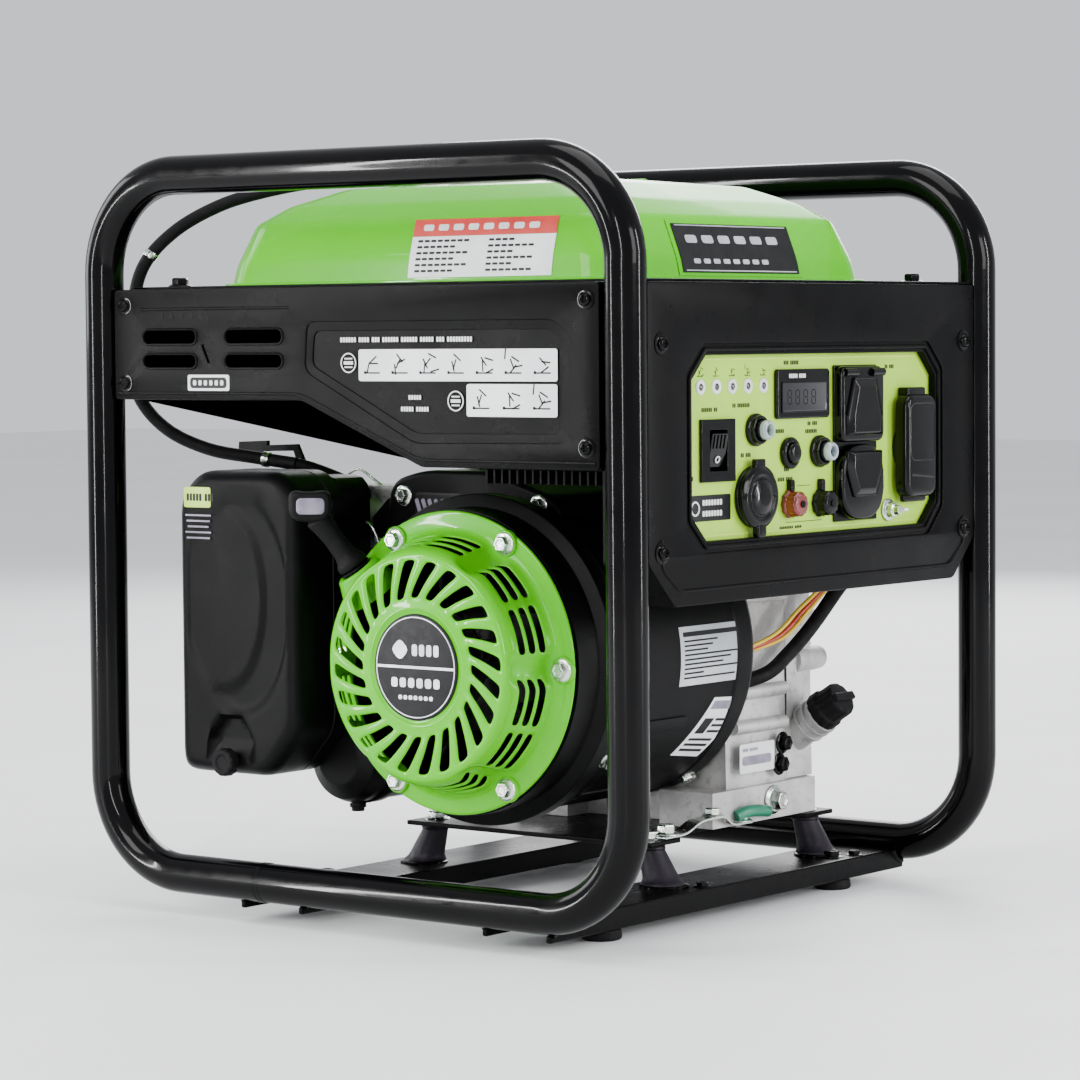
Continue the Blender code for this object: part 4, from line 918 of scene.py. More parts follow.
def make_terminals():
    for node, finish in (("positive_terminal", "terminal_red"), ("negative_terminal", "outlet_black")):
        at = panel_axis(node)
        turned(f"{node}_knob", at, [(0, 0.1962), (0.0031, 0.1962), (0.0031, 0.2069), (0.0086, 0.2069),
            (0.0086, 0.2088), (0.0076, 0.2098), (0.0076, 0.215), (0.0064, 0.2168), (0, 0.2172)],
            (0.0005, 3), 48, finish, wave=lambda a: 1 + 0.045 * cos(10 * a), replaces=(node,))
        flat = axes_at(at.translation, Y, Z)
        bm = bmesh.new()
        pillow(bm, flat, (-0.0021, 0.0021), (0.007, 0.015), 0.0018, 0.2069, 0.2104, 0.0008)
        lathe(bm, at, [(0, 0.2168), (0.0022, 0.2168), (0.0022, 0.2178), (0, 0.2178)], 20)
        piece(f"{node}_tab", bm, "outlet_black")
    at = panel_axis("ground_terminal")
    bm = bmesh.new()
    lathe(bm, at, soften([(0, 0.1962), (0.0029, 0.1962), (0.0029, 0.2069), (0.0072, 0.2069),
        (0.0072, 0.208), (0.0046, 0.2084), (0.0046, 0.2124), (0.003, 0.213), (0.003, 0.2166), (0, 0.217)],
        0.0003, 2, closed=False), 36)
    for side in (-1, 1):
        wing = axes_at(at.translation, Y * side, Z)
        rings = []
        for k in range(9):
            t = k / 8
            u, tall = 0.003 + 0.0078 * t, 0.0014 + 0.003 * sin(pi * min(t * 1.15, 1))
            rings.append([wing @ Vector((u, v, w)) for v, w in ((-0.0011, 0.209 + 0.004 * t),
                (0.0011, 0.209 + 0.004 * t), (0.0011, 0.2104 + 0.004 * t + tall),
                (-0.0011, 0.2104 + 0.004 * t + tall))])
        loft(bm, rings)
    piece("ground_wing_nut", bm, "zinc", "ground_nut", replaces=("ground_terminal",), bevel=0.0003)


def make_outlet_cover(node, body, hinge_up):
    """Self-closing flip cover: a lipped lid with a raised wedge and crossing ribs."""
    low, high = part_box(node)
    middle = (low + high) / 2
    way = 1 if hinge_up else -1
    at = axes_at((low.x, middle.y, middle.z), Y * way, Z * way)
    half_u, half_v = (high.y - low.y) / 2, (high.z - low.z) / 2
    depth = high.x - low.x
    hinge_corner = 0.006 if hinge_up else 0.022
    ends = [(-half_u + 0.0003, -half_v + 0.0004), (half_u - 0.0003, -half_v + 0.0004)]
    free = soften([(half_u - 0.0003, half_v - 0.0008), *reversed(ends),
        (-half_u + 0.0003, half_v - 0.0008)], hinge_corner, 8)
    lid = [Vector((min(max(p[0], -half_u), half_u), p[1])) for p in free]
    bm = bmesh.new()
    loft(bm, [[at @ Vector((p[0] * share, p[1] * share, w)) for p in lid] for share, w in ((1, 0),
        (1, 0.0036), (0.985, 0.0048), (0.955, 0.0056), (0.92, 0.0058))])
    piece(f"{node}_lid", bm, "outlet_black", body, replaces=(node,))
    bm = bmesh.new()
    top, wide = half_v - (0.0085 if hinge_up else 0.016), half_u - 0.0045
    outline = [(-wide, -half_v + 0.0045), (wide, -half_v + 0.0045), (wide, -half_v + 0.017),
        (wide * 0.62, top), (-wide * 0.62, top), (-wide, -half_v + 0.017)]
    inner = [(u * 0.74, v * 0.8 - 0.0022) for u, v in outline]
    loft(bm, [[at @ Vector((u, v, w)) for u, v in points] for points, w in ((outline, 0.004),
        (outline, 0.0068), (inner, depth - 0.0006))])
    piece(f"{node}_wedge", bm, "outlet_black", body, bevel=0.0008, angle=12)
    bm = bmesh.new()
    for start, end in (((-wide, -half_v + 0.017), (-wide * 0.62, top)),
            ((wide, -half_v + 0.017), (wide * 0.62, top)), ((-wide * 0.62, top), (wide * 0.62, top))):
        rods(bm, [(at @ Vector((*start, 0.0066)), at @ Vector((*end, 0.0066)))], 0.0009, 10)
    for side in (-1, 1) if hinge_up else ():
        rods(bm, [(at @ Vector((side * 0.0085, half_v - 0.0046, 0.0058)),
            at @ Vector((side * (half_u - 0.0022), half_v - 0.0046, 0.0058)))], 0.0026, 12)
    piece(f"{node}_ribs", bm, "outlet_black", body)


def make_outlets():
    refined("receptacle_block", "outlet_black", 0.0006)
    make_outlet_cover("upper_receptacle_cover", "upper_cover", True)
    make_outlet_cover("lower_receptacle_cover", "lower_cover", False)
    low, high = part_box("receptacle_block")
    at = axes_at((high.x, (low.y + high.y) / 2, (low.z + high.z) / 2), Y, Z)
    # Dark matte marks on the outlet face where the plug slots and the earth hole open: painted shade
    # standing in for the openings.
    bm = bmesh.new()
    for v in (-0.0245, 0.0245):
        for u, tall in ((-0.006, 0.0078), (0.006, 0.0062)):
            block(bm, at, (u - 0.001, u + 0.001), (v - tall / 2, v + tall / 2), (-0.0002, 0.00012))
        lathe(bm, at @ Matrix.Translation((0, v - 0.009, 0)), [(0, -0.0002), (0.0023, -0.0002),
            (0.0023, 0.00012), (0, 0.00012)], 20)
    piece("receptacle_slot_shade", bm, "hole_shade_black")
    refined("twist_lock_receptacle", "outlet_black", 0.0004)
    low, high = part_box("twist_lock_cover")
    at = axes_at((low.x, (low.y + high.y) / 2, (low.z + high.z) / 2), Y, Z)
    half_u, half_v, depth = (high.y - low.y) / 2, (high.z - low.z) / 2, high.x - low.x
    bm = bmesh.new()
    pillow(bm, at, (-half_u, half_u), (-half_v + 0.0004, half_v - 0.0004), 0.0085, 0, depth - 0.0008,
        0.0034, 6)
    piece("twist_lock_cover_lid", bm, "outlet_black", "twist_cover", replaces=("twist_lock_cover",))
    bm = bmesh.new()
    line = soften([(-half_u + 0.0035, -half_v + 0.024), (-half_u + 0.0035, half_v - 0.006),
        (half_u - 0.0035, half_v - 0.006), (half_u - 0.0035, -half_v + 0.024)], 0.006, 5)
    sweep(bm, [at @ Vector((p[0], p[1], depth - 0.0016)) for p in line], 0.001, 10, closed=True)
    rods(bm, [(at @ Vector((-half_u + 0.0045, -half_v + 0.015, depth - 0.0016)),
        at @ Vector((half_u - 0.0045, -half_v + 0.013, depth - 0.0016)))], 0.0012, 10)
    piece("twist_lock_cover_ribs", bm, "outlet_black", "twist_cover")
    bm = bmesh.new()
    pillow(bm, at, (-0.0105, 0.0105), (half_v - 0.006, half_v + 0.004), 0.0016, -0.0024, 0.0052, 0.0012)
    piece("twist_lock_hinge", bm, "outlet_black")
    bm = bmesh.new()
    pillow(bm, at, (-0.0135, 0.0135), (-half_v - 0.0028, -half_v + 0.006), 0.002, 0.0006, 0.0036, 0.001)
    piece("twist_lock_cover_tab", bm, "outlet_black", "twist_cover")


# --- Fuel tank ---------------------------------------------------------------------------------

def resample(outline, count):
    """The same closed line as evenly spaced points."""
    line = [Vector(p) for p in outline]
    spans = list(zip(line, line[1:] + line[:1]))
    total = sum((b - a).length for a, b in spans)
    found, walked, wanted = [], 0.0, 0.0
    for a, b in spans:
        length = (b - a).length
        while len(found) < count and wanted <= walked + length + 1e-9:
            found.append(a.lerp(b, (wanted - walked) / length if length else 0))
            wanted += total / count
        walked += length
    return found


def tank_levels():
    """The tank's outer profile: half length, half width, height and corner radius."""
    return soften([(0.163, 0.14, 0.3983, 0.03), (0.16, 0.138, 0.412, 0.03), (0.15, 0.131, 0.4375, 0.031),
        (0.135, 0.117, 0.449, 0.032), (0.111, 0.092, 0.4598, 0.034), (0.069, 0.05, 0.464, 0.034)], 0.0035,
        4, closed=False)


def tank_wall(z):
    """The tank's half length and half width at a height on its steep wall."""
    levels = tank_levels()
    for low, high in zip(levels, levels[1:]):
        if low[2] <= z <= high[2]:
            t = (z - low[2]) / (high[2] - low[2])
            return low[0] + (high[0] - low[0]) * t, low[1] + (high[1] - low[1]) * t
    return levels[0][0], levels[0][1]


def wall_patch(name, end_wall, u, z, lift, finish, rows=10):
    """A thin label that follows the tank's steep wall: the end wall faces +X and the other faces -Y."""
    bm = bmesh.new()
    grid = []
    for i in range(rows + 1):
        height = z[0] + (z[1] - z[0]) * i / rows
        half_x, half_y = tank_wall(height)
        row = []
        for k in (0, 1):
            place = u[0] + (u[1] - u[0]) * k
            row.append(bm.verts.new((half_x + lift, place, height)
                if end_wall else (place, -half_y - lift, height)))
        grid.append(row)
    for low, high in zip(grid, grid[1:]):
        bm.faces.new((low[0], low[1], high[1], high[0]))
    return piece(name, bm, finish, thickness=0.0003)


def wall_bars(name, end_wall, bars, finish, lift):
    """Blank marks on the tank's steep wall: each is (place along it, height, width, tall, angle)."""
    bm = bmesh.new()
    for place, height, width, tall, turn in bars:
        low, high = tank_wall(height - 0.001), tank_wall(height + 0.001)
        here = tank_wall(height)
        if end_wall:
            up = Vector((high[0] - low[0], 0, 0.002))
            at = axes_at((here[0] + lift, place, height), Y, up)
        else:
            up = Vector((0, low[1] - high[1], 0.002))
            at = axes_at((place, -here[1] - lift, height), X, up)
        prism(bm, at @ Matrix.Rotation(radians(turn), 4, "Z"), round_rect((-width / 2, width / 2),
            (-tall / 2, tall / 2), min(width, tall) * 0.3, 2), -0.0001, 0.00015)
    return piece(name, bm, finish)


def make_tank():
    refined("tank_lower_shell", "lime_paint", 0.0012)
    bm = bmesh.new()
    loft(bm, [[(u, v, z) for u, v in centred_rect(hx, hy, corner, 12)] for hx, hy, z,
        corner in tank_levels()])
    piece("tank_upper_shell_skin", bm, "lime_paint", replaces=("tank_upper_shell",), angle=24)
    bm = bmesh.new()
    flange = soften([(0.16, 0.137, 0.3984), (0.1672, 0.1442, 0.3984), (0.1672, 0.1442, 0.3999),
        (0.1615, 0.1385, 0.4004)], 0.0004, 3, closed=False)
    loft(bm, [[(u, v, z) for u, v in centred_rect(hx, hy, 0.033, 12)] for hx, hy, z in flange])
    piece("tank_seam_flange", bm, "lime_paint")
    bm = bmesh.new()
    for v in (-0.03, 0.03):
        sweep(bm, [(-0.0588, v, 0.4636), (0.0588, v, 0.4636)], 0.0022, 12)
    piece("tank_top_ribs", bm, "lime_paint")


def make_tank_labels():
    wall_patch("fuel_gauge_recess", True, (-0.078, 0.056), (0.401, 0.435), 0.0006, "lime_paint")
    wall_patch("maker_band", True, (-0.074, 0.052), (0.403, 0.433), 0.0012, "ink")
    bars = [(-0.058 + 0.0175 * k, 0.4235, 0.012, 0.0052, 0) for k in range(6)]
    bars += [(-0.058 + 0.0105 * k, 0.41, 0.007, 0.003, 0) for k in range(8)]
    wall_bars("maker_band_dashes", True, bars, "label_silver", 0.0013)
    wall_bars("maker_band_edges", True, [(-0.011, 0.432, 0.12, 0.0007, 0),
        (-0.011, 0.4042, 0.12, 0.0007, 0)], "label_silver", 0.0013)
    wall_patch("fuel_label_header", False, (0.0000, 0.112), (0.427, 0.4375), 0.0005, "label_red")
    wall_patch("fuel_label_body", False, (0.0000, 0.112), (0.4015, 0.4268), 0.0005, "label_white")
    wall_bars("fuel_label_header_dashes", False, [(0.012 + 0.0118 * k, 0.4322, 0.008, 0.004, 0)
        for k in range(8)], "paint_white", 0.0006)
    rows = []
    for row in range(6):
        for column, start in enumerate((0.004, 0.06)):
            length = 0.044 - 0.006 * ((row * 2 + column * 3) % 4)
            rows += [(start + 0.003 + 0.0052 * k, 0.424 - 0.0037 * row, 0.004, 0.0015,
                0) for k in range(int(length / 0.0052))]
    wall_bars("fuel_label_print", False, rows, "ink", 0.0006)


def make_fuel_cap():
    low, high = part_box("fuel_cap")
    middle = (low + high) / 2
    at = Matrix.Translation((middle.x, middle.y, 0))
    turned("fuel_cap_body", at, [(0, low.z), (0.0262, low.z), (0.0284, low.z + 0.002),
        (0.0284, high.z - 0.006), (0.0262, high.z - 0.0022), (0.0205, high.z - 0.0018),
        (0.019, high.z - 0.0032), (0, high.z - 0.0036)], (0.0008, 3), 144, "rubber", "fuel_cap",
        wave=lambda a: 1 - 0.022 * max(0, cos(24 * a)) ** 2, replaces=("fuel_cap",))
    bm = bmesh.new()
    pillow(bm, at, (-0.0195, 0.0195), (-0.0048, 0.0048), 0.003, high.z - 0.0045, high.z, 0.0018)
    piece("fuel_cap_grip", bm, "rubber", "fuel_cap")
    turned("filler_neck_ring", at, [(0.022, 0.463), (0.0268, 0.463), (0.0262, 0.4652), (0.024, 0.4655),
        (0.022, 0.465)], (0.0004, 2), 64, "lime_paint", ring=True)
    turned("vent_valve", Matrix.Translation((-0.08, -0.045, 0)), [(0, 0.456), (0.0098, 0.456),
        (0.0098, 0.4668), (0.0078, 0.4676), (0.0078, 0.4722), (0.0062, 0.4735), (0, 0.4735)], (0.0005, 3),
        36, "black_plastic", slot="lime_paint")


# --- Recoil starter ----------------------------------------------------------------------------

# The recoil cover's section from its middle outwards: radius, and distance behind the face
RECOIL_ROWS = [
    (0.01, 0.0014), (0.0325, 0.0014), (0.034, 0.0014), (0.0352, 0.0002), (0.0362, 0),
    (0.0374, 0.0002), (0.0405, 0.0004), (0.0425, 0.0004), (0.047, 0), (0.0535, 0), (0.0605, 0),
    (0.0652, 0.0004), (0.067, 0.0004), (0.0688, 0.0008), (0.0706, 0.0022), (0.0724, 0.0046),
    (0.0733, 0.007), (0.0741, 0.0096), (0.0752, 0.0142), (0.076, 0.017), (0.0772, 0.0216),
    (0.078, 0.0244), (0.0791, 0.029), (0.0799, 0.0315), (0.0815, 0.0338), (0.0842, 0.0352),
    (0.0925, 0.0352), (0.0936, 0.0358), (0.0938, 0.0375),
]

# The rows of faces in that section that are left open as slots
SIDE_SLOT_ROWS = (17, 19, 21)


def recoil_face():
    """The middle of the recoil cover's face, with Z out of it."""
    return axes_at((CRANK.x, RECOIL_Y, CRANK.z), X, Z)


def make_recoil_cover():
    columns, step = 96, radians(3.75)
    at = recoil_face()
    swirl = tan(radians(28))
    finish_turn = swirl * log(0.0652 / 0.0425)
    bm = bmesh.new()
    grid = []
    for radius, back in RECOIL_ROWS:
        twist = swirl * log(min(max(radius, 0.0425), 0.0652) / 0.0425)
        ring = []
        for column in range(columns):
            angle = column * step + finish_turn - twist
            nearest = abs((degrees(angle) + 30) % 60 - 30)
            near_lug = 1 - smoothstep(3, 7, nearest)
            on_side = smoothstep(0.07, 0.074, radius) * (1 - smoothstep(0.0799, 0.0842, radius))
            r = radius - 0.0045 * near_lug * on_side
            ring.append(bm.verts.new(at @ Vector((r * cos(angle), r * sin(angle), -back))))
        grid.append(ring)
    hub = bm.verts.new(at @ Vector((0, 0, -0.0014)))
    for column in range(columns):
        after = (column + 1) % columns
        bm.faces.new((hub, grid[0][column], grid[0][after]))
        for row in range(len(RECOIL_ROWS) - 1):
            radius = RECOIL_ROWS[row][0]
            front_slot = 0.0425 <= radius < 0.0652 and column % 4 in (0, 1)
            side_slot = row in SIDE_SLOT_ROWS and (2 <= column % 16 <= 7 or 9 <= column % 16 <= 14)
            if front_slot or side_slot:
                continue
            bm.faces.new((grid[row][column], grid[row + 1][column], grid[row + 1][after], grid[row][after]))
    piece("recoil_cover_pressing", bm, "lime_paint", thickness=0.0018, levels=1, replaces=("recoil_cover",),
        angle=60)


def make_recoil_bolts():
    at = recoil_face()
    bm, pads = bmesh.new(), bmesh.new()
    for k in range(6):
        angle = radians(60 * k)
        place = at @ Matrix.Translation((0.0862 * cos(angle), 0.0862 * sin(angle), -0.0352))
        bolt(bm, place @ Matrix.Translation((0, 0, 0.002)), 0.0052, 0.005)
        lathe(pads, place, soften([(0, -0.001), (0.0086, -0.001), (0.0082, 0.0018), (0.0074, 0.0022),
            (0, 0.0022)], 0.0005, 3, closed=False), 28)
    piece("recoil_cover_bolts", bm, "zinc", bevel=0.0003)
    piece("recoil_cover_pads", pads, "lime_paint")


def make_recoil_disc():
    at = recoil_face()
    turned("recoil_centre_disc", at, [(0, -0.0012), (0.0325, -0.0012), (0.0325, -0.0005), (0.0318, 0.0),
        (0, 0.0)], (0.0003, 2), 96, "ink")
    bars = [(0, 0, 0.061, 0.0016, 0), (-0.012, 0.0105, 0.01, 0.01, 45)]
    bars += [(-0.0005 + 0.0056 * k, 0.0105, 0.004, 0.007, 0) for k in range(4)]
    bars += [(-0.0165 + 0.0066 * k, -0.0095, 0.0048, 0.0058, 0) for k in range(6)]
    bars += [(-0.012 + 0.004 * k, -0.0185, 0.0028, 0.0026, 0) for k in range(7)]
    marks("recoil_disc_dashes", at, bars, "label_silver", lift=0.0)
    bm = bmesh.new()
    ring_marks(bm, at, (0, 0), 0.0302, 0.0006, 0.0, 0.00012, 96)
    piece("recoil_disc_ring", bm, "label_silver")


def make_rope_lug():
    lug = pointing(ROPE_START, ROPE_WAY)
    turned("rope_lug", lug, [(0.02, -0.02), (0.0172, -0.009), (0.015, -0.004), (0.014, -0.0008),
        (0.0118, 0.0), (0.0092, -0.0008), (0.009, -0.02)], (0.0014, 4), 48, "lime_paint", ring=True)
    turned("rope_eyelet", lug, [(0.0052, -0.006), (0.0091, -0.006), (0.0091, 0.0004), (0.0104, 0.0006),
        (0.01, 0.0018), (0.0062, 0.0018), (0.0052, 0.0008)], (0.0004, 2), 40, "black_plastic", ring=True)


def make_starter_handle():
    stem = pointing(ROPE_START, ROPE_WAY)
    turned("starter_handle_stem", stem, [(0, 0.0022), (0.0098, 0.0022), (0.01, 0.006), (0.0082, 0.0085),
        (0.0068, 0.012), (0.0064, 0.024), (0.0072, 0.033), (0.0086, 0.04), (0, 0.044)], (0.002, 4), 44,
        "rubber", "starter_grip", replaces=("starter_handle",))
    face = Vector((0.69, -0.72, 0)).normalized()
    centre = ROPE_START + ROPE_WAY * 0.0485
    across = face.cross(Z).normalized() * -1
    up = face.cross(across).normalized()
    up = up if up.z > 0 else -up
    at = axes_at(centre, across, up)
    if (at.to_3x3() @ Z).dot(face) < 0:
        at = axes_at(centre, -across, up)
    rings = []
    for share, w in ((0.8, -0.009), (0.93, -0.0078), (1.0, -0.005), (1.0, 0.0045), (0.95, 0.007),
            (0.86, 0.0084), (0.8, 0.0086)):
        outline = resample(round_rect((-0.0132 * share, 0.0132 * share), (-0.0094 * share, 0.0094 * share),
            0.006 * share, 8), 64)
        rings.append([at @ Vector((p[0], p[1] + 0.0022 * (p[0] / 0.0132) ** 2, w)) for p in outline])
    bm = bmesh.new()
    loft(bm, rings)
    piece("starter_handle_grip", bm, "rubber", "starter_grip", levels=1)
    bm = bmesh.new()
    pillow(bm, at @ Matrix.Translation((0, 0.0006, 0)), (-0.0088, 0.0088), (-0.005, 0.0052), 0.003, 0.007,
        0.0094, 0.001)
    piece("starter_handle_badge", bm, "ink_grey", "starter_grip", slot="rubber")


def drum_point(y, z, lift):
    radius = DRUM_R + lift
    return Vector((CRANK.x + sqrt(max(radius**2 - (z - CRANK.z) ** 2, 0)), y, z))


def drum_patch(name, corners, lift, finish, share=(0, 1, 0, 1), steps=12):
    """A thin label wrapped on the drum. corners are (y, z) from top left, clockwise."""
    (tl, tr, br, bl) = [Vector(c) for c in corners]
    bm = bmesh.new()
    grid = []
    for i in range(steps + 1):
        t = share[2] + (share[3] - share[2]) * i / steps
        row = []
        for k in range(3):
            s = share[0] + (share[1] - share[0]) * k / 2
            top, low = tl.lerp(tr, s), bl.lerp(br, s)
            row.append(bm.verts.new(drum_point(*top.lerp(low, t), lift)))
        grid.append(row)
    for one, two in zip(grid, grid[1:]):
        for k in range(2):
            bm.faces.new((one[k], one[k + 1], two[k + 1], two[k]))
    return piece(name, bm, finish, thickness=0.00025)


def make_drum():
    at = pointing((CRANK.x, 0, CRANK.z), -Y)
    outer = soften([(0.0945, 0.1485), (0.0945, 0.128), (0.103, 0.125), (0.103, 0.113), (0.0975, 0.108),
        (0.0975, 0.0905), (0.0967, 0.0897), (0.0967, 0.088), (0.0975, 0.0872), (0.0975, -0.012),
        (0.0985, -0.0145), (0.0985, -0.029), (0.096, -0.0338)], 0.0009, 3, closed=False)
    inner = [Vector(p) for p in ((0.042, -0.0338), (0.042, -0.03), (0.09, -0.03), (0.094, -0.024),
        (0.094, 0.105), (0.099, 0.118), (0.092, 0.128), (0.092, 0.1485))]
    bm = bmesh.new()
    lathe(bm, at, [*outer, *inner], 128, closed=True)
    piece("alternator_housing_shell", bm, "black_plastic", slot="satin_black",
        replaces=("alternator_housing",))


def make_fan_shroud():
    shroud = soften([(-0.053, 0.198), (-0.06, 0.235), (-0.056, 0.273), (-0.028, 0.2805), (0.028, 0.2805),
        (0.08, 0.264), (0.09, 0.235), (0.043, 0.2)], 0.012, 6)
    side = axes_at((0, 0, 0), X, Z)
    bm = bmesh.new()
    prism(bm, side, shroud, -0.0335, 0.093)
    piece("fan_shroud", bm, "black_plastic", slot="satin_black", bevel=0.0035, segments=4)
    bm = bmesh.new()
    for x, z in ((-0.044, 0.264), (-0.0485, 0.228), (0.065, 0.26)):
        bolt(bm, side @ Matrix.Translation((x, z, 0.0928)), 0.0048, 0.0045)
    piece("fan_shroud_bolts", bm, "zinc", bevel=0.0003)
    bm = bmesh.new()
    prism(bm, side, soften([(-0.05, 0.196), (-0.076, 0.206), (-0.079, 0.242), (-0.056, 0.264)], 0.005, 5),
        0.079, 0.0915)
    piece("fan_shroud_wing", bm, "black_plastic", slot="satin_black", bevel=0.0015, segments=3)
    tag = side @ Matrix.Translation((-0.069, 0.224, 0)) @ Matrix.Rotation(-0.14, 4, "Z")
    plate("shroud_tag", tag, [centred_rect(0.0065, 0.0125, 0.001, 3)], 0.0914, 0.0919, 0.0001,
        "label_silver")
    marks("shroud_tag_squares", tag, [(-0.0036 + 0.0036 * (k % 3), 0.008 - 0.004 * (k // 3), 0.0022, 0.0024,
        0) for k in range(15) if k % 4], "ink", lift=0.0919)
    plate("shroud_label", side, [round_rect((-0.034, 0.004), (0.246, 0.266), 0.002, 3)], 0.0929, 0.0934,
        0.0001, "ink")
    marks("shroud_label_bars", side, [(-0.031 + 0.0052 * k, 0.256, 0.003, 0.013, 20) for k in range(7)],
        "ink_grey", lift=0.0934)


def make_drum_labels():
    label = ((-0.048, 0.184), (0.021, 0.184), (0.021, 0.147), (-0.048, 0.147))
    drum_patch("drum_label", label, 0.0004, "label_silver")
    drum_patch("drum_label_header", label, 0.0006, "ink", (0.05, 0.93, 0.09, 0.17), 3)
    for row in range(9):
        width = (0.52, 0.44, 0.36, 0.88, 0.72, 0.6, 0.88, 0.3, 0.8)[row]
        t = 0.23 + 0.078 * row
        drum_patch(f"drum_label_row_{row}", label, 0.0006, "ink", (0.06, 0.06 + width, t, t + 0.03), 2)
    warning = ((-0.006, 0.137), (0.028, 0.135), (0.007, 0.097), (-0.027, 0.101))
    drum_patch("drum_sign", warning, 0.0004, "label_white")
    drum_patch("drum_sign_header", warning, 0.0006, "ink_grey", (0.08, 0.92, 0.06, 0.2), 4)
    drum_patch("drum_sign_picture", warning, 0.0006, "ink", (0.12, 0.42, 0.36, 0.62), 4)
    for row in range(3):
        drum_patch(f"drum_sign_row_{row}", warning, 0.0006, "ink",
            (0.5, 0.9, 0.36 + 0.1 * row, 0.4 + 0.1 * row), 2)
        drum_patch(f"drum_sign_foot_{row}", warning, 0.0006, "ink", (0.1, 0.9, 0.7 + 0.09 * row,
            0.74 + 0.09 * row), 2)


def make_drum_bolts():
    bm = bmesh.new()
    for y, angle in ((-0.04, -52), (-0.096, -38), (0.022, -58), (-0.096, 24), (-0.096, 150)):
        way = Vector((cos(radians(angle)), 0, sin(radians(angle))))
        bolt(bm, pointing(Vector((CRANK.x, y, CRANK.z)) + way * (DRUM_R - 0.0004), way), 0.0052, 0.0048)
    piece("drum_bolts", bm, "zinc", bevel=0.0003)
    bm = bmesh.new()
    for k in range(10):
        angle = 2 * pi * (k + 0.3) / 10
        way = Vector((cos(angle), 0, sin(angle)))
        if way.z > -0.3 and way.x > -0.1:
            continue
        here = axes_at(Vector((CRANK.x, -0.06, CRANK.z)) + way * DRUM_R, Y, Y.cross(way) * -1)
        pillow(bm, here, (-0.03, 0.03), (-0.0045, 0.0045), 0.004, -0.001, 0.001, 0.0006)
    piece("drum_pressed_pads", bm, "black_plastic", slot="satin_black")


# --- Air cleaner and canister ------------------------------------------------------------------

def make_air_cleaner():
    low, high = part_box("air_cleaner_cover")
    at = axes_at(((low.x + high.x) / 2, high.y, (low.z + high.z) / 2), X, Z)
    half_u, half_v, depth = (high.x - low.x) / 2, (high.z - low.z) / 2, high.y - low.y
    outline = resample(soften([(-half_u, -half_v + 0.006), (-half_u + 0.004, -half_v),
        (half_u - 0.026, -half_v), (half_u, -half_v + 0.03), (half_u, half_v - 0.016),
        (half_u - 0.016, half_v), (-half_u + 0.016, half_v), (-half_u, half_v - 0.016)], 0.01, 6), 160)

    def relief(u, v):
        outer = hypot((u - 0.004) / 0.04, (v - 0.012) / 0.07)
        inner = hypot((u + 0.012) / 0.034, (v - 0.016) / 0.058)
        crescent = (1 - smoothstep(0.93, 1.03, outer)) * smoothstep(0.94, 1.04, inner)
        bowl = 1 - smoothstep(0.9, 1.04, inner)
        knob = 1 - smoothstep(0.9, 1.06, hypot((u + 0.0058) / 0.02, (v + 0.088) / 0.03))
        return -0.0035 * crescent - 0.0012 * bowl - 0.0075 * knob * (1 - smoothstep(-0.062, -0.058, v))

    rings = []
    edge = 0.011
    for w in (0.0006, 0.012, 0.0128, 0.0136, 0.0144, depth - edge):
        grow = -0.0012 if w == 0.0136 else 0
        rings.append([at @ Vector((p[0] * (1 + grow / half_u), p[1] * (1 + grow / half_v), w))
            for p in outline])
    for k in range(1, 7):
        a = pi / 2 * k / 6
        inset = edge * 0.8 * (1 - cos(a))
        rings.append([at @ Vector((p[0] * (1 - inset / half_u), p[1] * (1 - inset / half_v),
            depth - edge + edge * sin(a))) for p in outline])
    for k in range(1, 22):
        share = (1 - edge * 0.8 / half_u) * (1 - k / 22)
        rings.append([at @ Vector((p[0] * share, p[1] * share, depth + relief(p[0] * share, p[1] * share)))
            for p in outline])
    bm = bmesh.new()
    loft(bm, rings)
    piece("air_cleaner_cover_shell", bm, "black_plastic", replaces=("air_cleaner_cover",), angle=50)
    bm = bmesh.new()
    pillow(bm, at @ Matrix.Translation((0, half_v - 0.008, 0)), (-0.014, 0.014), (-0.006, 0.0078), 0.003,
        0.01, 0.023, 0.002)
    piece("air_cleaner_latch", bm, "black_plastic")
    face = at @ Matrix.Translation((0, 0, depth))
    plate("air_cleaner_label", face, [round_rect((-0.043, -0.02), (0.073, 0.086), 0.0016, 3)], -0.0004,
        0.0002, 0.0001, "label_lime")
    marks("air_cleaner_print", face, [(-0.031, 0.068 - 0.0036 * k, 0.022 - 0.002 * (k % 3), 0.0011,
        0) for k in range(5)], "ink_grey", lift=-0.0002, height=0.0003)
    marks("air_cleaner_label_dashes", face, text_bars(-0.0405, 0.0795, (5, 3), 0.0048, 0.002), "ink",
        lift=0.0002)


def make_filter_knob():
    low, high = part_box("air_cleaner_knob")
    middle = (low + high) / 2
    knob = pointing((middle.x, high.y, middle.z), -Y)
    deep = high.y - low.y
    turned("air_cleaner_knob_body", knob, [(0, 0), (0.0078, 0), (0.009, 0.0014), (0.0088, deep - 0.0012),
        (0.0074, deep), (0.005, deep - 0.0002), (0.0044, deep - 0.001), (0, deep - 0.001)], (0.0006, 3), 96,
        "rubber", "filter_knob", wave=lambda a: 1 - 0.05 * max(0, cos(12 * a)),
        replaces=("air_cleaner_knob",))
    refined("air_cleaner_base", "black_plastic", 0.0012)


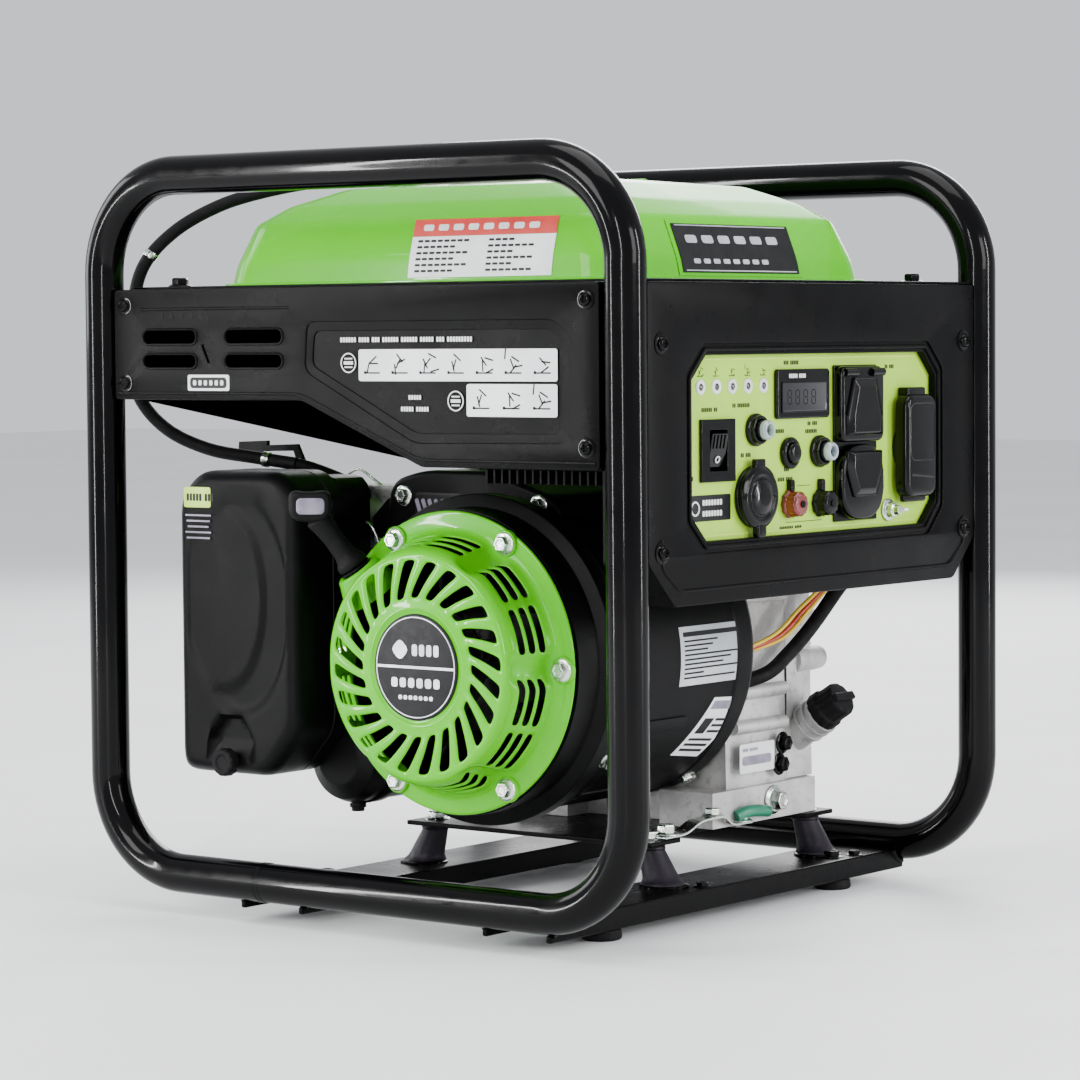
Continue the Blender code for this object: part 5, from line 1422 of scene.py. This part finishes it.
def make_canister():
    can = pointing((-0.072, 0, 0.096), -Y)
    profile = soften([(0, 0.02), (0.025, 0.02), (0.0286, 0.023), (0.029, 0.04), (0.0282, 0.0412),
        (0.0282, 0.044), (0.029, 0.0452), (0.029, 0.101), (0.0282, 0.1022), (0.0282, 0.1046),
        (0.029, 0.1056), (0.029, 0.115), (0.0262, 0.1225), (0.0165, 0.1275), (0, 0.128)], 0.0012, 3,
        closed=False)
    bm = bmesh.new()
    lathe(bm, can, profile, 64)
    sweep(bm, [(-0.072, -0.108, 0.075), (-0.072, -0.108, 0.061)], 0.0042, 20)
    band(bm, pointing((-0.072, -0.108, 0.065), -Z), (0.004, 0.0054), (-0.001, 0.0016), 0.0003, 24)
    piece("evap_canister_body", bm, "black_plastic", replaces=("evap_canister",))
    bm = bmesh.new()
    for y in (-0.045, -0.1):
        band(bm, pointing((-0.072, y, 0.096), -Y), (0.0286, 0.0304), (-0.005, 0.005), 0.0004, 64)
    piece("canister_straps", bm, "satin_black")


def make_intake():
    refined("carburettor", "cast_aluminium", 0.0012)
    refined("choke_lever", "black_plastic", 0.0006)
    bm = bmesh.new()
    for z in (0.2035, 0.229):
        for x in (-0.1, -0.072):
            pan_screw(bm, pointing((x, -0.0735, z), -Y), 0.003)
    bolt(bm, pointing((-0.086, -0.054, 0.1922), -Z), 0.005, 0.005)
    for z in (0.23, 0.26):
        bolt(bm, pointing((-0.1065, -0.0998, z), -Y), 0.004, 0.004)
    piece("carburettor_screws", bm, "zinc", bevel=0.0002)
    bm = bmesh.new()
    hook = along([(-0.06, -0.094, 0.205), (-0.056, -0.099, 0.223), (-0.06, -0.104, 0.242),
        (-0.07, -0.104, 0.248), (-0.076, -0.1, 0.242)], 8)
    sweep(bm, hook, 0.0011, 12)
    sweep(bm, along([(-0.106, -0.074, 0.276), (-0.098, -0.073, 0.279), (-0.088, -0.069, 0.272),
        (-0.08, -0.06, 0.262)], 8), 0.0009, 10)
    piece("throttle_links", bm, "zinc")
    bm = bmesh.new()
    sweep(bm, along([(-0.118, -0.112, 0.2835), (-0.108, -0.105, 0.28), (-0.096, -0.09, 0.272),
        (-0.09, -0.07, 0.26), (-0.086, -0.054, 0.236)], 8), 0.004, 16)
    sweep(bm, along([(-0.064, -0.054, 0.212), (-0.05, -0.02, 0.225), (-0.056, 0.008, 0.29),
        (-0.07, 0.01, 0.344)], 8), 0.0036, 16)
    piece("fuel_lines", bm, "rubber")


def make_hose():
    bm = bmesh.new()
    route = [(-0.086, -0.0494, 0.4692), (-0.105, -0.062, 0.4688), (-0.129, -0.079, 0.4662),
        (-0.156, -0.099, 0.46), (-0.178, -0.118, 0.451), (-0.196, -0.14, 0.435), (-0.209, -0.156, 0.413),
        (-0.214, -0.162, 0.385), (-0.2145, -0.164, 0.354), (-0.211, -0.16, 0.327), (-0.196, -0.15, 0.306),
        (-0.172, -0.136, 0.293), (-0.144, -0.122, 0.2875), (-0.118, -0.112, 0.2835)]
    line = along(route, 8)
    sweep(bm, line, 0.0042, 24)
    piece("evap_hose_tube", bm, "rubber", replaces=("evap_hose",))
    bm = bmesh.new()
    for i in (4, 46, 98):
        band(bm, pointing(line[i], line[i + 1] - line[i]), (0.004, 0.0051), (-0.0022, 0.0022), 0.0003, 28)
    piece("hose_clips", bm, "zinc")


# --- Engine ------------------------------------------------------------------------------------

def make_crankcase():
    refined("crankcase", "cast_aluminium", 0.0018, 3)
    refined("crankcase_side_cover", "cast_aluminium", 0.002, 3)
    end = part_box("crankcase")[1].x
    bm = bmesh.new()
    for z in (0.112, 0.134, 0.196, 0.212):
        rods(bm, [((end - 0.0035, 0.04, z), (end - 0.0035, 0.098, z))], 0.0045, 20)
    for z, start, stop, radius in ((0.15, 0.118, 0.152, 0.0078), (0.177, 0.122, 0.146, 0.006)):
        lathe(bm, pointing((end - 0.012, start, z), Y), soften([(0, 0), (radius * 1.25, 0),
            (radius, stop - start), (radius * 0.62, stop - start), (radius * 0.5, stop - start - 0.003),
            (0, stop - start - 0.003)], 0.0012, 3, closed=False), 40)
    piece("crankcase_bosses", bm, "cast_aluminium")
    cover_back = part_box("crankcase_side_cover")[1].y
    bm = bmesh.new()
    flat = axes_at((0, cover_back, 0), -X, Z)
    lathe(bm, flat @ Matrix.Translation((-CRANK.x, CRANK.z, 0)), soften([(0, -0.004), (0.036, -0.004),
        (0.033, 0.006), (0.024, 0.007), (0.022, 0.005), (0.011, 0.005), (0.01, 0.008), (0, 0.008)], 0.0014,
        4, closed=False), 64)
    for k in range(8):
        a = 2 * pi * (k + 0.5) / 8
        start = Vector((CRANK.x + 0.033 * cos(a), cover_back - 0.0005, CRANK.z + 0.033 * sin(a)))
        stop = Vector((CRANK.x + 0.058 * cos(a), cover_back - 0.001, CRANK.z + 0.052 * sin(a)))
        rods(bm, [(start, stop)], 0.0026, 12)
    piece("side_cover_ribs", bm, "cast_aluminium")
    bm, black = bmesh.new(), bmesh.new()
    for x, z in ((-0.018, 0.096), (-0.02, 0.15), (-0.002, 0.205), (0.045, 0.2285), (0.092, 0.208),
            (0.108, 0.16), (0.045, 0.084), (0.012, 0.086)):
        bolt(bm, flat @ Matrix.Translation((-x, z, 0.0002)), 0.0056, 0.0055)
    for y, z in ((0.0915, 0.0985), (0.088, 0.085), (0.046, 0.215), (0.094, 0.218)):
        bolt(black, pointing((end - 0.0002, y, z), X), 0.0054, 0.0055)
    piece("side_cover_bolts", bm, "zinc", bevel=0.0003)
    piece("crankcase_bolts", black, "gloss_black", bevel=0.0003)
    bm = bmesh.new()
    outline = soften([(-0.026, 0.076), (0.115, 0.076), (0.1165, 0.15), (0.106, 0.214), (0.05, 0.2365),
        (0.006, 0.228), (-0.02, 0.19)], 0.016, 6)
    sweep(bm, [(p[0], 0.1041, p[1]) for p in outline], 0.0009, 8, closed=True)
    piece("crankcase_gasket", bm, "ink")
    at = axes_at((end + 0.0002, 0, 0), Y, Z)
    plate("engine_label", at, [round_rect((0.042, 0.0815), (0.0825, 0.1015), 0.0015, 3)], 0, 0.0004, 0.0001,
        "label_white")
    marks("engine_label_dashes", at,
        [(0.061, 0.0905, 0.033, 0.006, 0)] + text_bars(0.045, 0.0975, (4, 6), 0.0022), "ink_grey",
        lift=0.0004)
    drain = node_middle("oil_drain_bolt")
    low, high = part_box("oil_drain_bolt")
    bm = bmesh.new()
    bolt(bm, pointing((low.x, drain.y, drain.z), X), 0.007, high.x - low.x)
    piece("oil_drain_bolt_head", bm, "zinc", bevel=0.0003, replaces=("oil_drain_bolt",))


def make_oil_filler():
    neck_way = (OIL_NECK_MOUTH - OIL_NECK_FOOT).normalized()
    neck = pointing(OIL_NECK_MOUTH, neck_way)
    bm = bmesh.new()
    for w in (-0.0125, -0.0065, -0.0012):
        band(bm, neck @ Matrix.Translation((0, 0, w)), (0.011, 0.0133), (-0.001, 0.0012), 0.0004, 48)
    piece("oil_neck_collars", bm, "cast_aluminium")
    bm = bmesh.new()
    at = pointing(node_middle("oil_filler_cap"), neck_way)
    lathe(bm, at, soften([(0, -0.0125), (0.0118, -0.0125), (0.0132, -0.0105), (0.0132, -0.004),
        (0.0118, -0.0028), (0.0118, 0.0075), (0.0106, 0.0095), (0, 0.01)], 0.0008, 3, closed=False), 96,
        wave=lambda a: 1 - 0.04 * max(0, cos(12 * a)))
    pillow(bm, at, (-0.011, 0.011), (-0.0028, 0.0028), 0.0015, 0.009, 0.0125, 0.001)
    piece("oil_filler_cap_body", bm, "rubber", "oil_cap", replaces=("oil_filler_cap",))


def make_cylinder():
    away = Vector((-cos(CYLINDER_LEAN), 0, sin(CYLINDER_LEAN)))
    side = Vector((sin(CYLINDER_LEAN), 0, cos(CYLINDER_LEAN)))
    flip = 1 if side.cross(Y).dot(away) > 0 else -1

    def section(d):
        return axes_at(Vector((CRANK.x, 0, CRANK.z)) + away * d, side, flip * Y)

    def fin(bm, d, half, corner):
        v = sorted((flip * 0.036, flip * 0.104))
        prism(bm, section(d), round_rect((-half, half), v, corner, 5), -0.0012, 0.0012)

    def core(bm, low, high, half):
        v = sorted((flip * 0.044, flip * 0.096))
        prism(bm, section(0), round_rect((-half, half), v, 0.01, 6), low, high)

    bm = bmesh.new()
    core(bm, 0.0635, 0.1245, 0.037)
    for k in range(8):
        fin(bm, 0.069 + 0.0074 * k, 0.0432, 0.005)
    piece("cylinder_block_fins", bm, "cast_aluminium", bevel=0.0005, replaces=("cylinder_block",))
    bm = bmesh.new()
    core(bm, 0.1265, 0.168, 0.033)
    for k in range(5):
        fin(bm, 0.128 + 0.0076 * k, 0.04, 0.006)
    piece("cylinder_head_fins", bm, "cast_aluminium", bevel=0.0005, replaces=("cylinder_head",))
    bm = bmesh.new()
    at = section(0.166)
    v = sorted((flip * 0.04, flip * 0.1))
    pillow(bm, at, (-0.03, 0.03), v, 0.008, 0, 0.0235, 0.005)
    piece("valve_cover", bm, "satin_black", slot="cast_aluminium")
    bm = bmesh.new()
    for u in (-0.024, 0.024):
        for w in v:
            bolt(bm, at @ Matrix.Translation((u, w * 0.94 + flip * 0.0042, 0.0225)), 0.0044, 0.0042)
    piece("valve_cover_bolts", bm, "zinc", bevel=0.0003)
    bm = bmesh.new()
    plug = section(0.15) @ Vector((0.03, flip * 0.07, 0))
    way = (side + away * 0.35).normalized()
    lathe(bm, pointing(plug, way), soften([(0, 0), (0.0075, 0), (0.0075, 0.01), (0.0055, 0.012),
        (0.0055, 0.02), (0, 0.02)], 0.0008, 3, closed=False), 32)
    piece("spark_plug", bm, "label_white", slot="cast_aluminium")
    bm = bmesh.new()
    tip = plug + way * 0.02
    lathe(bm, pointing(tip - way * 0.01, way), soften([(0.0065, 0), (0.0085, 0), (0.0085, 0.016),
        (0.005, 0.021), (0, 0.021)], 0.0012, 3, closed=False), 32)
    sweep(bm, along([tip + way * 0.008, tip + way * 0.014 + X * 0.012, (-0.05, 0.03, 0.295),
        (-0.015, -0.01, 0.292), (0.02, -0.02, 0.279)], 8), 0.0032, 16)
    piece("spark_plug_lead", bm, "rubber")


def make_muffler():
    refined("muffler", "hot_steel", 0.0022)
    at = axes_at((0, 0.178, 0), -X, Z)
    slots = [round_rect((0.076 + 0.0165 * k, 0.083 + 0.0165 * k), (0.215, 0.275), 0.0034,
        5) for k in range(6)]
    shield = soften([(0.064, 0.19), (0.178, 0.19), (0.178, 0.3), (0.064, 0.3)], 0.012, 5)
    plate("muffler_heat_shield", at, [shield, *slots], 0.003, 0.0044, 0.0005, "hot_steel")
    bm = bmesh.new()
    for u, v in ((0.072, 0.198), (0.17, 0.198), (0.072, 0.292), (0.17, 0.292)):
        rods(bm, [(at @ Vector((u, v, -0.001)), at @ Vector((u, v, 0.0034)))], 0.004, 16)
        bolt(bm, at @ Matrix.Translation((u, v, 0.0043)), 0.0048, 0.0045)
    piece("heat_shield_bolts", bm, "zinc", bevel=0.0003)
    turned("exhaust_outlet", pointing((-0.1985, 0.154, 0.215), -X), [(0.0075, 0), (0.0098, 0),
        (0.0098, 0.008), (0.0075, 0.008)], (0.0006, 2), 40, "hot_steel", ring=True)


def make_wiring():
    bm = bmesh.new()
    sweep(bm, along([(0.168, 0.122, 0.24), (0.158, 0.128, 0.218), (0.142, 0.125, 0.196),
        (0.133, 0.11, 0.174), (0.129, 0.088, 0.157), (0.127, 0.066, 0.146), (0.116, 0.042, 0.14)], 10),
        0.0048, 20)
    sweep(bm, along([(0.19, -0.12, 0.218), (0.192, -0.06, 0.214), (0.192, 0.02, 0.212), (0.19, 0.09, 0.215),
        (0.186, 0.14, 0.224)], 10), 0.0062, 20)
    piece("wiring_conduit", bm, "rubber")
    for k, finish in enumerate(("wire_yellow", "wire_red", "wire_yellow")):
        bm = bmesh.new()
        shift = 0.0042 * k
        sweep(bm, along([(0.166, 0.116 - shift, 0.24), (0.156, 0.122 - shift, 0.218),
            (0.142, 0.118 - shift, 0.201), (0.134, 0.102 - shift, 0.183 + shift * 0.4),
            (0.13, 0.08 - shift, 0.168 + shift * 0.4), (0.118, 0.052 - shift, 0.16)], 10), 0.0014, 12)
        piece(f"signal_wire_{k}", bm, finish)


def make_inverter():
    refined("inverter_module", "satin_black", 0.0012)
    low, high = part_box("inverter_module")
    bm = bmesh.new()
    for k in range(17):
        x = low.x + 0.004 + k * (high.x - low.x - 0.008) / 16
        block(bm, Matrix.Identity(4), (x - 0.0009, x + 0.0009), (low.y + 0.004, high.y - 0.004),
            (low.z - 0.0085, low.z + 0.001))
    piece("inverter_fins", bm, "satin_black", bevel=0.0003)


def make_running_gear():
    refined("crankshaft", "machined", 0.0006)
    refined("rotor_with_fan", "satin_black", 0.0006)
    refined("stator", "copper", 0.0006)
    refined("recoil_pulley", "black_plastic", 0.0005)
    refined("air_filter_element", "foam", 0.0012)


def main():
    make_camera()
    make_looks()
    make_studio()
    make_hoops()
    make_rails()
    make_feet()
    make_mounts()
    make_cradle()
    make_side_panels()
    make_control_panel()
    make_faceplate()
    make_switch()
    make_meter()
    make_buttons()
    make_dc_socket()
    make_terminals()
    make_outlets()
    make_tank()
    make_tank_labels()
    make_fuel_cap()
    make_recoil_cover()
    make_recoil_bolts()
    make_recoil_disc()
    make_rope_lug()
    make_starter_handle()
    make_drum()
    make_fan_shroud()
    make_drum_labels()
    make_drum_bolts()
    make_air_cleaner()
    make_filter_knob()
    make_canister()
    make_intake()
    make_hose()
    make_crankcase()
    make_oil_filler()
    make_cylinder()
    make_muffler()
    make_wiring()
    make_inverter()
    make_running_gear()


main()
